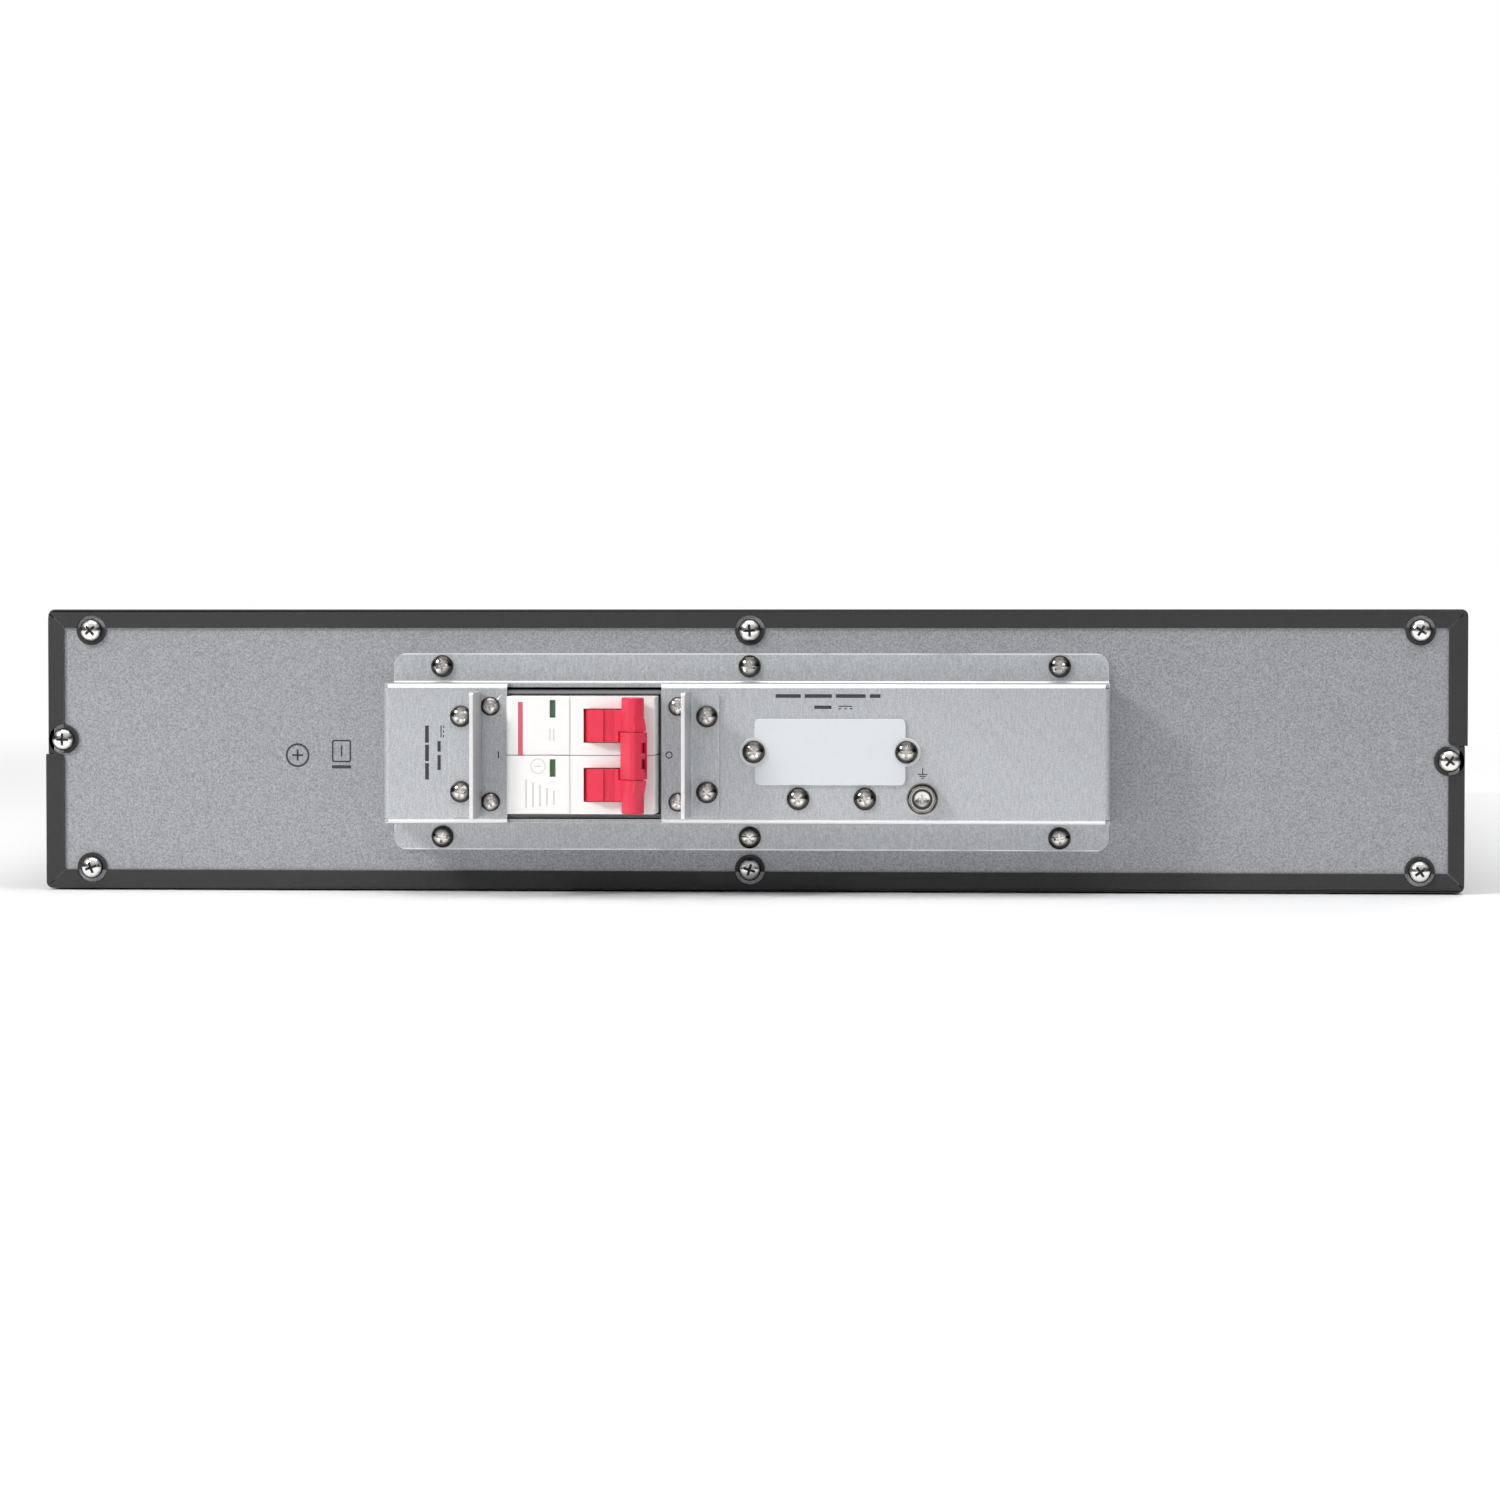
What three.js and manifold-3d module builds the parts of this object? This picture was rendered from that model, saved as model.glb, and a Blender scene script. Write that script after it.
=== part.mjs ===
// Two-unit rack battery cabinet for a 192 V DC bus: sixteen 12 V blocks in a folded steel case, with a
// raised terminal box on the connection side for a two-pole breaker, its guards and the connector.
// Millimetres. X runs across the rack width, -Y faces the connection side, +Y the bezel, +Z up.
// The origin is the middle of the footprint, at the level of the underside.
import * as THREE from "three";
import { mergeVertices } from "three/addons/utils/BufferGeometryUtils.js";
import Module from "manifold-3d";

const wasm = await Module();
wasm.setup();

// ---- driving dimensions -----------------------------------------------------------------------------
const CASE = { width: 438, height: 86.5, length: 650, sheet: 0.8, bend: 2, lip: 5.8, lap: 0.9, tongue: 10 };
const SEAM = 41.6; // from the base of each half up to the edge of its outer wall
const PANEL = { sheet: 1.2, margin: 1.6, returns: 10, openingX: -22, openingWidth: 164, openingHeight: 40 };
const BOX = { length: 220, web: 42.6, span: 60.6, rise: 24.5, sheet: 1.2, bend: 1.8, centreZ: 42.7 };
const BREAKER = { x: -48.8, z: 42.6, pitch: 17.8, poleWidth: 17.6, noseLength: 45, noseDepth: 17 };
const BREAKER_BODY = { length: 81, depth: 62, proud: 11.4 }; // proud: nose face ahead of the box's web
const TOGGLE = { offset: 8.8, depth: 6, hub: 8.6, hubWidth: 9.7, pin: 1.6, mouth: 7.9, // drum
  root: 9.9, tip: 16.2, thick: 5.2, paddle: 17.1, swing: 36 }; // lever, swing to each side of upright
const CLIP = { wall: 0.8, half: 7, recess: 0.5, eye: 3 }; // the bar that ties the two levers together
const FLAG = { offset: -8.4, window: 1.8, height: 5.3, fromEdge: 1.1, cover: 1, thick: 0.8, travel: 2.3 };
const TERMINAL = { depth: 40, bore: 3.4, reach: 8 }; // cable entries in the two ends of a pole
const RAIL = { width: 35, depth: 7.5, recess: 7, sheet: 1, flange: 5 };
const CRADLE = { half: 33, sheet: 1.2, room: 0.4, past: 2 };
const GUARD = { height: 38, flange: 10, rise: 22, sheet: 1.2, inner: 31.1 };
const PLATE = { x: 25.8, z: 43.4, width: 45.6, height: 20, ear: 3.8, earSpan: 46.1, sheet: 1 };
const SOCKET = { width: 40, height: 16, corner: 1.5 }; // the box's opening behind the blanking plate
const CONNECTOR = {
  depth: 19.2, halfWidth: 19.5, halfHeight: 7.5, flange: 3, pole: 9, bore: 5, boreDepth: 9, well: 5,
  flangeHalf: 26.5, flangeBelow: 1, flangeAbove: 3, footHalf: 15, footSide: 0.4, footBelow: 4,
};
const BEZEL = { depth: 24, wall: 2.5, corner: 6 };
const VENT = { rows: 6, pitch: 11, height: 5, inner: 62, outer: 196 };
const BLOCK = { length: 151, height: 94, width: 65 }; // one 12 V block lying on its side
const TAB = { reach: 6, width: 6.4, sheet: 0.8, fromEnd: 10, fromTop: 10 }; // the blocks' terminal tabs
const aisle = { outer: 119, inner: 106 }; // the two columns of blocks face each other across it
const LEAD = { radius: 2.8, sides: 8 };
const PEG = { radius: 2.5, length: 4 }; // the bezel's pegs, measured behind the covers' front edge
const EARTH_SCREW = { head: 4.5, height: 3.4, length: 9, dish: 2.6, arm: 1.9, slot: 0.4 };
const WASHER = { radius: 4.95, sheet: 1 };
const FIT = 0.1; // gap between sheets that are stacked face to face
const CLEAR = 0.3; // gap round a shank, a peg or a cut piece

// ---- derived places ---------------------------------------------------------------------------------
const halfWidth = CASE.width / 2;
const overallLength = CASE.length + BEZEL.depth - CASE.sheet - FIT + BOX.rise + GUARD.rise;
const frontFaceY = overallLength / 2; // outer face of the bezel
const frontY = frontFaceY - BEZEL.depth; // front edge of the covers
const rearY = frontY - CASE.length; // outer face of the covers' rear lips
const panelY = rearY + CASE.sheet + FIT; // outer face of the rear panel
const webY = panelY - BOX.rise; // outer face of the terminal box's web
const noseY = webY - BREAKER_BODY.proud; // face of the breaker

// ---- materials --------------------------------------------------------------------------------------
const finish = (color, roughness, metalness) =>
  new THREE.MeshStandardMaterial({ color, roughness, metalness });
const finishes = {
  powderCoat: finish(0x3b3b3c, 0.6, 0.2),
  panelSteel: finish(0xa2a4a8, 0.45, 0.8),
  boxSteel: finish(0xbcbfc4, 0.38, 0.85),
  blankPlate: finish(0xdfe3e7, 0.4, 0.3),
  nickel: finish(0xd8d4cc, 0.18, 1),
  whiteShell: finish(0xf4f3ef, 0.4, 0),
  redToggle: finish(0xe23b56, 0.35, 0),
  greenFlag: finish(0x3f7a4c, 0.5, 0),
  blackPlastic: finish(0x1c1c1e, 0.55, 0),
  blockCase: finish(0x2c2d30, 0.6, 0),
  redCable: finish(0xb5202b, 0.5, 0),
  blackCable: finish(0x151515, 0.5, 0),
};

// ---- shape helpers ----------------------------------------------------------------------------------
// An outline of straight edges through corners [x, y, radius]; a rounded corner is an arc in `steps` chords.
function roundedOutline(corners, steps = 4) {
  const points = [];
  corners.forEach(([x, y, radius = 0], i) => {
    const at = new THREE.Vector2(x, y);
    if (!radius) return points.push(at);
    const neighbour = (k) => {
      const [nx, ny] = corners[(k + corners.length) % corners.length];
      return new THREE.Vector2(nx, ny);
    };
    const back = neighbour(i - 1).sub(at).normalize();
    const ahead = neighbour(i + 1).sub(at).normalize();
    const halfAngle = Math.acos(THREE.MathUtils.clamp(back.dot(ahead), -1, 1)) / 2;
    const centre = back.clone().add(ahead).normalize().multiplyScalar(radius / Math.sin(halfAngle)).add(at);
    const reach = radius / Math.tan(halfAngle);
    const start = back.clone().multiplyScalar(reach).add(at).sub(centre);
    const end = ahead.clone().multiplyScalar(reach).add(at).sub(centre);
    let turn = end.angle() - start.angle();
    turn = turn > Math.PI ? turn - 2 * Math.PI : turn < -Math.PI ? turn + 2 * Math.PI : turn;
    for (let k = 0; k <= steps; k++) {
      const a = start.angle() + (turn * k) / steps;
      points.push(new THREE.Vector2(centre.x + radius * Math.cos(a), centre.y + radius * Math.sin(a)));
    }
  });
  return points;
}

function rectangle(x, y, width, height, radius = 0, steps = 3) {
  const [w, h] = [width / 2, height / 2];
  const corner = (sx, sy) => [x + sx * w, y + sy * h, radius];
  return roundedOutline([corner(-1, -1), corner(1, -1), corner(1, 1), corner(-1, 1)], steps);
}

function circleOutline(x, y, radius, sides = 12) {
  const corner = (k) => (2 * Math.PI * (k + 0.5)) / sides;
  return Array.from({ length: sides }, (_, k) =>
    new THREE.Vector2(x + radius * Math.cos(corner(k)), y + radius * Math.sin(corner(k))));
}

// Extrudes an outline with holes; `place` turns the geometry from its own XY plane into the part's frame.
function extrude(outline, depth, place, holes = []) {
  const shape = new THREE.Shape(outline);
  shape.holes = holes.map((hole) => new THREE.Path(hole));
  const geometry = new THREE.ExtrudeGeometry(shape, { depth, bevelEnabled: false, steps: 1 });
  return geometry.applyMatrix4(place);
}

const facing = (y) => // outline x, y become X, Z; the thickness runs towards -Y from y
  new THREE.Matrix4().makeTranslation(0, y, 0).multiply(new THREE.Matrix4().makeRotationX(Math.PI / 2));
const standing = (x, y, z) => new THREE.Matrix4().makeTranslation(x, y, z); // outline in plan, thickness up
const along = (x) => // outline x, y become Y, Z; the thickness runs towards +X from x
  new THREE.Matrix4().makeTranslation(x, 0, 0).multiply(new THREE.Matrix4().makeBasis(
    new THREE.Vector3(0, 1, 0), new THREE.Vector3(0, 0, 1), new THREE.Vector3(1, 0, 0)));

// A plate in the XZ plane whose inner face is at y.
const plate = (outline, y, sheet, holes) => extrude(outline, sheet, facing(y), holes);

function block(x0, x1, y0, y1, z0, z1) {
  const geometry = new THREE.BoxGeometry(x1 - x0, y1 - y0, z1 - z0);
  return geometry.translate((x0 + x1) / 2, (y0 + y1) / 2, (z0 + z1) / 2);
}

// A round bar along Y, from y0 to y1.
const barY = (x, z, radius, y0, y1, sides = 12) => plate(circleOutline(x, z, radius, sides), y1, y1 - y0);

function solid(geometry) {
  const bare = new THREE.BufferGeometry().setAttribute("position", geometry.getAttribute("position"));
  if (geometry.index) bare.setIndex(geometry.index);
  const merged = mergeVertices(bare, 1e-4);
  const positions = new Float32Array(merged.getAttribute("position").array);
  return new wasm.Manifold(
    new wasm.Mesh({ numProp: 3, vertProperties: positions, triVerts: new Uint32Array(merged.index.array) }));
}

const join = (...geometries) => geometries.map(solid).reduce((sum, next) => sum.add(next));
const cut = (body, ...geometries) => geometries.reduce((left, tool) => left.subtract(solid(tool)), body);

function toGeometry(body) {
  const made = body.getMesh();
  const positions = new Float32Array(made.numVert * 3);
  for (let i = 0; i < made.numVert; i++) {
    positions.set(made.vertProperties.subarray(i * made.numProp, i * made.numProp + 3), i * 3);
  }
  const geometry = new THREE.BufferGeometry();
  geometry.setAttribute("position", new THREE.BufferAttribute(positions, 3));
  geometry.setIndex(new THREE.BufferAttribute(new Uint32Array(made.triVerts), 1));
  geometry.computeVertexNormals();
  return geometry;
}

const cabinet = new THREE.Group();

function addPiece(name, shape, material, parent = cabinet) {
  const mesh = new THREE.Mesh(shape.isBufferGeometry ? shape : toGeometry(shape), material);
  mesh.name = name;
  parent.add(mesh);
  return mesh;
}

// ---- fastener places --------------------------------------------------------------------------------
const SHANK = { case: 2, small: 1.5 };
const caseScrewX = 204.6;
const caseScrewZ = CASE.height - 6.5;
const sideScrew = { x: 213.4, z: 46.2 }; // on the left; the right one is its half-turn image
const boxScrewX = 95;
const boxScrewRise = 26.3;
const guardScrew = { x: 37.4, z: 11.45 }; // from the breaker's middle
const cradleScrew = { x: 28.5, z: 14.5 };
const connectorScrew = { x: 10.1, z: 29.2 }; // x from the blanking plate's middle
const earth = { x: 53.7, z: 29.3 };

const caseScrews = [
  ...[-1, 0, 1].map((k) => [k * caseScrewX, caseScrewZ]),
  ...[-1, 0, 1].map((k) => [k * caseScrewX, CASE.height - caseScrewZ]),
  [-sideScrew.x, sideScrew.z],
  [sideScrew.x, CASE.height - sideScrew.z],
];
const boxScrews = [1, -1].flatMap((side) =>
  [-1, 0, 1].map((k) => [k * boxScrewX, BOX.centreZ + side * boxScrewRise]));
const corners = (x, z) => [[-x, z], [x, z], [-x, -z], [x, -z]];
const guardScrews = corners(guardScrew.x, guardScrew.z).map(([x, z]) => [BREAKER.x + x, BREAKER.z + z]);
const cradleScrews = corners(cradleScrew.x, cradleScrew.z).map(([x, z]) => [BREAKER.x + x, BREAKER.z + z]);
const plateScrews = [-1, 1].map((k) => [PLATE.x + (k * PLATE.earSpan) / 2, PLATE.z]);
const connectorScrews = [-1, 1].map((k) => [PLATE.x + 0.4 + k * connectorScrew.x, connectorScrew.z]);
const HOLE_SIDES = 8;
const holesAt = (places, radius) => places.map(([x, z]) => circleOutline(x, z, radius, HOLE_SIDES));
// Bars that drill a sheet between y0 and y1 at each place.
const drills = (places, radius, y0, y1) => places.map(([x, z]) => barY(x, z, radius, y0, y1, HOLE_SIDES));

// ---- case halves ------------------------------------------------------------------------------------
// Both halves are the same folded part. The upper one is drawn; the lower one is it, turned over about Y.
// Its right wall laps outside the other half, and its left wall is a tongue that tucks inside.
function caseHalf() {
  const { sheet, bend, lip, lap, tongue } = CASE;
  const top = CASE.height;
  const outerEdge = top - SEAM;
  const leftX = -halfWidth + lap;
  const tongueEdge = SEAM - tongue;
  const section = roundedOutline([
    [halfWidth, outerEdge], [halfWidth, top, bend], [leftX, top, bend], [leftX, tongueEdge],
    [leftX + sheet, tongueEdge], [leftX + sheet, top - sheet, bend - sheet],
    [halfWidth - sheet, top - sheet, bend - sheet], [halfWidth - sheet, outerEdge],
  ]);
  const lipOutline = roundedOutline([
    [halfWidth, outerEdge], [halfWidth, top, bend], [leftX, top, bend], [leftX, SEAM + CLEAR],
    [lip - halfWidth, SEAM + CLEAR], [lip - halfWidth, top - lip], [halfWidth - lip, top - lip],
    [halfWidth - lip, outerEdge, 1.5],
  ]);
  const lobeRadius = 4.6;
  const screws = [[-1, 0, 1].map((k) => [k * caseScrewX, caseScrewZ]), [[-sideScrew.x, sideScrew.z]]].flat();
  const lobes = screws.map(([x, z]) => barY(x, z, lobeRadius, rearY, rearY + sheet, 20));
  const shell = join(plate(section, frontY, CASE.length), plate(lipOutline, frontY, sheet),
    plate(lipOutline, rearY + sheet, sheet), ...lobes);
  const shankHoles = drills(screws, SHANK.case + CLEAR, rearY - 1, rearY + 2);
  const clearOfLip = sheet + CLEAR; // the tongue stops short of the other half's lips
  const tongueEnds = [[rearY - 1, rearY + clearOfLip], [frontY - clearOfLip, frontY + 1]].map(([y0, y1]) =>
    block(-halfWidth - 1, 15 - halfWidth, y0, y1, -1, SEAM + CLEAR));
  return cut(shell, ...shankHoles, ...tongueEnds, ...mitreCuts(), ...rackEarHoles());
}

// The open mitres where the top lip meets the side lips.
function mitreCuts() {
  const gap = 0.35;
  const reach = 6;
  return [-1, 1].map((side) => {
    const slit = new THREE.BoxGeometry(reach, 3, gap);
    slit.translate(reach / 2 - 0.5, rearY + CASE.sheet / 2, 0);
    slit.rotateY(side > 0 ? -Math.PI / 4 : -3 * Math.PI / 4);
    return slit.translate(side * (halfWidth - CASE.lip), 0, CASE.height - CASE.lip);
  });
}

// Holes for rack ears in both side walls, near the bezel.
function rackEarHoles() {
  const rise = 65;
  return [30, 60, 90].map((setBack) => {
    const bar = new THREE.CylinderGeometry(2.1, 2.1, CASE.width + 4, 12);
    return bar.rotateZ(Math.PI / 2).translate(0, frontY - setBack, rise);
  });
}

const half = toGeometry(caseHalf());
addPiece("top_cover", half, finishes.powderCoat);
const bottomCover = addPiece("bottom_cover", half, finishes.powderCoat);
bottomCover.rotation.y = Math.PI;
bottomCover.position.z = CASE.height;

// ---- rear panel -------------------------------------------------------------------------------------
function rearPanel() {
  const { sheet, margin, returns } = PANEL;
  const inner = panelY + sheet;
  const right = halfWidth - CASE.lap - margin;
  const low = margin;
  const high = CASE.height - margin;
  const outline = rectangle(0, CASE.height / 2, 2 * right, high - low);
  const opening = rectangle(PANEL.openingX, BOX.centreZ, PANEL.openingWidth, PANEL.openingHeight, 2);
  const holes = [opening, ...holesAt([...caseScrews, ...boxScrews], SHANK.case + CLEAR)];
  return join(
    plate(outline, inner, sheet, holes),
    block(-right + 14, right - 14, inner - 0.5, inner + returns, low, low + sheet),
    block(-right + 14, right - 14, inner - 0.5, inner + returns, high - sheet, high),
  );
}
addPiece("rear_panel", rearPanel(), finishes.panelSteel);

// ---- terminal box -----------------------------------------------------------------------------------
function terminalBox() {
  const { length, web, span, sheet, bend, centreZ: mid } = BOX;
  const foot = panelY - FIT;
  const halfWeb = web / 2;
  const halfSpan = span / 2;
  const tight = bend - sheet;
  const section = roundedOutline([
    [foot, mid - halfSpan], [foot - sheet, mid - halfSpan],
    [foot - sheet, mid - halfWeb, tight], [webY, mid - halfWeb, bend],
    [webY, mid + halfWeb, bend], [foot - sheet, mid + halfWeb, tight],
    [foot - sheet, mid + halfSpan], [foot, mid + halfSpan],
    [foot, mid + halfWeb - sheet, bend], [webY + sheet, mid + halfWeb - sheet, tight],
    [webY + sheet, mid - halfWeb + sheet, tight], [foot, mid - halfWeb + sheet, bend],
  ], 3);
  const ends = [-1, 1].map((side) => {
    const x = (side * length) / 2;
    const [x0, x1] = side < 0 ? [x, x + sheet] : [x - sheet, x];
    const rise = halfWeb - sheet - CLEAR;
    return block(x0, x1, webY + sheet / 2, foot - FIT, mid - rise, mid + rise);
  });
  const shell = join(extrude(section, length, along(-length / 2)), ...ends);
  const windowHalf = 23.5;
  const wallNotch = 7;
  const window = block(BREAKER.x - windowHalf, BREAKER.x + windowHalf, webY - 1, webY + wallNotch,
    mid - halfWeb - 1, mid + halfWeb + 1);
  const socket = plate(rectangle(PLATE.x, PLATE.z, SOCKET.width, SOCKET.height, SOCKET.corner), webY + 3, 5);
  const reliefs = [-1, 1].flatMap((sx) => [-1, 1].map((sz) =>
    barY(sx * (length / 2 - 0.3), mid + sz * (halfWeb - 0.9), 1.1, webY - 1, webY + bend + 1, 8)));
  const roundings = [-1, 1].flatMap((sx) => [-1, 1].map((sz) => flangeCorner(sx, sz)));
  const webPlaces = [...guardScrews, ...plateScrews, ...connectorScrews, [earth.x, earth.z]];
  const webHoles = drills(webPlaces, SHANK.case + CLEAR, webY - 1, webY + 3);
  const smallHoles = drills(cradleScrews, SHANK.small + CLEAR, webY - 1, webY + 3);
  const footHoles = drills(boxScrews, SHANK.case + CLEAR, foot - 3, foot + 1);
  return cut(shell, window, socket, ...reliefs, ...roundings, ...webHoles, ...smallHoles, ...footHoles);
}

// The waste at a foot's outer corner, outside its rounding.
function flangeCorner(sx, sz) {
  const radius = 3.5;
  const x = (sx * BOX.length) / 2;
  const z = BOX.centreZ + (sz * BOX.span) / 2;
  const arc = Array.from({ length: 5 }, (_, k) => {
    const a = (Math.PI / 2) * (k / 4);
    return new THREE.Vector2(x - sx * radius * (1 - Math.sin(a)), z - sz * radius * (1 - Math.cos(a)));
  });
  const over = 0.5;
  const waste = [[x - sx * radius, z + sz * over], [x + sx * over, z + sz * over],
    [x + sx * over, z - sz * radius]].map(([px, pz]) => new THREE.Vector2(px, pz));
  return plate([...waste, ...arc.reverse()], panelY + 0.5, 4);
}
addPiece("terminal_box", terminalBox(), finishes.boxSteel);

// ---- breaker guards ---------------------------------------------------------------------------------
// An L: a flange screwed to the web and a leg that stands beside the toggles.
function guard(side) {
  const { height, flange, rise, sheet, inner } = GUARD;
  const face = webY - FIT;
  const legInner = BREAKER.x + side * inner;
  const away = (d) => legInner + side * d;
  const z0 = BREAKER.z - height / 2;
  const section = roundedOutline([
    [away(0), face - rise + FIT], [away(sheet), face - rise + FIT], [away(sheet), face - sheet, 0.8],
    [away(flange), face - sheet], [away(flange), face], [away(0), face, 2],
  ], 3);
  const shape = solid(extrude(section, height, standing(0, 0, z0)));
  const trims = [1, -1].map((sz) => guardCorner(away(flange), side, z0 + (sz > 0 ? height : 0), sz));
  const ownScrews = guardScrews.filter(([x]) => Math.sign(x - BREAKER.x) === side);
  const holes = drills(ownScrews, SHANK.case + CLEAR, face - 3, face + 1);
  return cut(shape, ...trims, ...holes);
}

function guardCorner(x, side, z, sz) {
  const radius = 2.2;
  const over = 0.5;
  const arc = Array.from({ length: 4 }, (_, k) => {
    const a = (Math.PI / 2) * (k / 3);
    return new THREE.Vector2(x - side * radius * (1 - Math.cos(a)), z - sz * radius * (1 - Math.sin(a)));
  });
  const waste = [[x - side * radius, z + sz * over], [x + side * over, z + sz * over],
    [x + side * over, z - sz * radius]].map(([px, pz]) => new THREE.Vector2(px, pz));
  return plate([...waste, ...arc], webY + 1, 4);
}
addPiece("guard_left", guard(-1), finishes.boxSteel);
addPiece("guard_right", guard(1), finishes.boxSteel);

// ---- blanking plate over the connector --------------------------------------------------------------
function blankingPlate() {
  const { x, z, width, height, ear, earSpan, sheet } = PLATE;
  const y = webY - FIT;
  const ears = [-1, 1].map((k) => barY(x + (k * earSpan) / 2, z, ear, y - sheet, y, 20));
  const holes = drills(plateScrews, SHANK.case + CLEAR, y - 3, y + 1);
  return cut(join(plate(rectangle(x, z, width, height, 1.6, 4), y, sheet), ...ears), ...holes);
}
addPiece("connector_blanking_plate", blankingPlate(), finishes.blankPlate);

// ---- breaker ----------------------------------------------------------------------------------------
// Two narrow poles, one over the other: noses through the box's window, toggles swinging left and right.
const toggleX = BREAKER.x + TOGGLE.offset;
const toggleY = noseY + TOGGLE.depth;
const flagX = BREAKER.x + FLAG.offset;
const poleCentres = { upper: BREAKER.z + BREAKER.pitch / 2, lower: BREAKER.z - BREAKER.pitch / 2 };

function poleOutline() {
  const nose = BREAKER.noseLength / 2;
  const body = BREAKER_BODY.length / 2;
  const back = BREAKER_BODY.depth;
  const seat = RAIL.width / 2 + CLEAR;
  const chamfer = 4;
  return roundedOutline([
    [-nose, 0, 1.2], [nose, 0, 1.2], [nose, BREAKER.noseDepth], [body, BREAKER.noseDepth, 1],
    [body, back - chamfer], [body - chamfer, back], [seat, back], [seat, back - RAIL.recess],
    [-seat, back - RAIL.recess], [-seat, back], [chamfer - body, back], [-body, back - chamfer],
    [-body, BREAKER.noseDepth, 1], [-nose, BREAKER.noseDepth],
  ].map(([x, depth, radius]) => [BREAKER.x + x, noseY + depth, radius]), 3);
}

// The flag's own middle height in a pole whose centre is at z.
const flagHeight = (z) => z + BREAKER.poleWidth / 2 - FLAG.fromEdge - FLAG.height / 2;

function pole(z) {
  const body = solid(extrude(poleOutline(), BREAKER.poleWidth, standing(0, 0, z - BREAKER.poleWidth / 2)));
  const slotHalf = TOGGLE.hubWidth / 2 + CLEAR;
  const drumRoom = new THREE.CylinderGeometry(TOGGLE.hub + 0.4, TOGGLE.hub + 0.4, 2 * slotHalf, 24);
  drumRoom.rotateX(Math.PI / 2).translate(toggleX, toggleY, z);
  const mouth = block(toggleX - TOGGLE.mouth, toggleX + TOGGLE.mouth, noseY - 1, toggleY,
    z - slotHalf, z + slotHalf);
  const bore = new THREE.CylinderGeometry(TOGGLE.pin + CLEAR, TOGGLE.pin + CLEAR, BREAKER.poleWidth + 2, 12);
  bore.rotateX(Math.PI / 2).translate(toggleX, toggleY, z);
  const flagZ = flagHeight(z);
  const halfWindow = FLAG.window / 2;
  const window = block(flagX - halfWindow, flagX + halfWindow, noseY - 1, noseY + FLAG.cover + CLEAR,
    flagZ - FLAG.height / 2, flagZ + FLAG.height / 2);
  const room = 1.5 * FLAG.travel + CLEAR;
  const flagRoom = block(flagX - room, flagX + room,
    noseY + FLAG.cover, noseY + FLAG.cover + FLAG.thick + 2 * CLEAR,
    flagZ - FLAG.height / 2 - 2 * CLEAR, flagZ + FLAG.height / 2 + 2 * CLEAR);
  const entries = [-1, 1].map((side) => {
    const entry = new THREE.CylinderGeometry(TERMINAL.bore, TERMINAL.bore, 2 * TERMINAL.reach, 12);
    const end = BREAKER.x + (side * BREAKER_BODY.length) / 2;
    return entry.rotateZ(Math.PI / 2).translate(end, noseY + TERMINAL.depth, z);
  });
  return cut(body, drumRoom, mouth, bore, window, flagRoom, ...entries);
}

function indicatorFlag(z) {
  const front = noseY + FLAG.cover + CLEAR;
  const rise = FLAG.height / 2 + CLEAR;
  const flagZ = flagHeight(z);
  return block(flagX - 1.5 * FLAG.travel, flagX + FLAG.travel / 2, front, front + FLAG.thick,
    flagZ - rise, flagZ + rise);
}

for (const [level, z] of Object.entries(poleCentres)) {
  addPiece(`breaker_pole_${level}`, pole(z), finishes.whiteShell);
  addPiece(`indicator_flag_${level}`, indicatorFlag(z), finishes.greenFlag);
}

// ---- toggles ----------------------------------------------------------------------------------------
// Drawn standing straight out of the nose, then leaned over to the off side by their group.
const toggles = new THREE.Group();
toggles.position.set(toggleX, toggleY, BREAKER.z);
toggles.rotation.z = THREE.MathUtils.degToRad(TOGGLE.swing);
cabinet.add(toggles);


function toggle(side) {
  const z = (side * BREAKER.pitch) / 2;
  const { hub, hubWidth, root, tip, thick, pin, paddle } = TOGGLE;
  const drum = new THREE.CylinderGeometry(hub, hub, hubWidth, 24);
  drum.rotateX(Math.PI / 2).translate(0, 0, z);
  const neck = block(-thick / 2, thick / 2, -root - 1, -hub + 2, z - hubWidth / 2, z + hubWidth / 2);
  const profile = roundedOutline([
    [-thick / 2, -root], [-thick / 2, -tip, 1.6], [thick / 2, -tip, 1.6], [thick / 2, -root]], 3);
  const lever = extrude(profile, paddle, standing(0, 0, z - paddle / 2));
  const bore = new THREE.CylinderGeometry(pin + CLEAR, pin + CLEAR, hubWidth + 2, 12);
  bore.rotateX(Math.PI / 2).translate(0, 0, z);
  const inner = thick / 2 - CLIP.recess;
  const reach = CLIP.half + CLEAR;
  const seats = [-1, 1].map((face) => {
    const [x0, x1] = face < 0 ? [-thick, -inner] : [inner, thick];
    return block(x0, x1, -tip - 1, -root + 1, -reach, reach);
  });
  return cut(join(drum, neck, lever), bore, ...seats);
}

function tieBar() {
  const { root, tip, thick } = TOGGLE;
  const inner = thick / 2 - CLIP.recess + FIT;
  const outer = inner + CLIP.wall;
  const start = -root - CLEAR;
  const top = -tip - FIT;
  const profile = roundedOutline([
    [-outer, start], [-outer, top - CLIP.wall, 1.4], [outer, top - CLIP.wall, 1.4], [outer, start],
    [inner, start], [inner, top, 0.6], [-inner, top, 0.6], [-inner, start]], 3);
  const eyes = [-1, 1].map((side) => {
    const z = side * (CLIP.eye / 2 + 0.9);
    return block(0.3, 1.7, top - 2, top + 0.3, z - CLIP.eye / 2, z + CLIP.eye / 2);
  });
  return cut(solid(extrude(profile, 2 * CLIP.half, standing(0, 0, -CLIP.half))), ...eyes);
}

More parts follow.
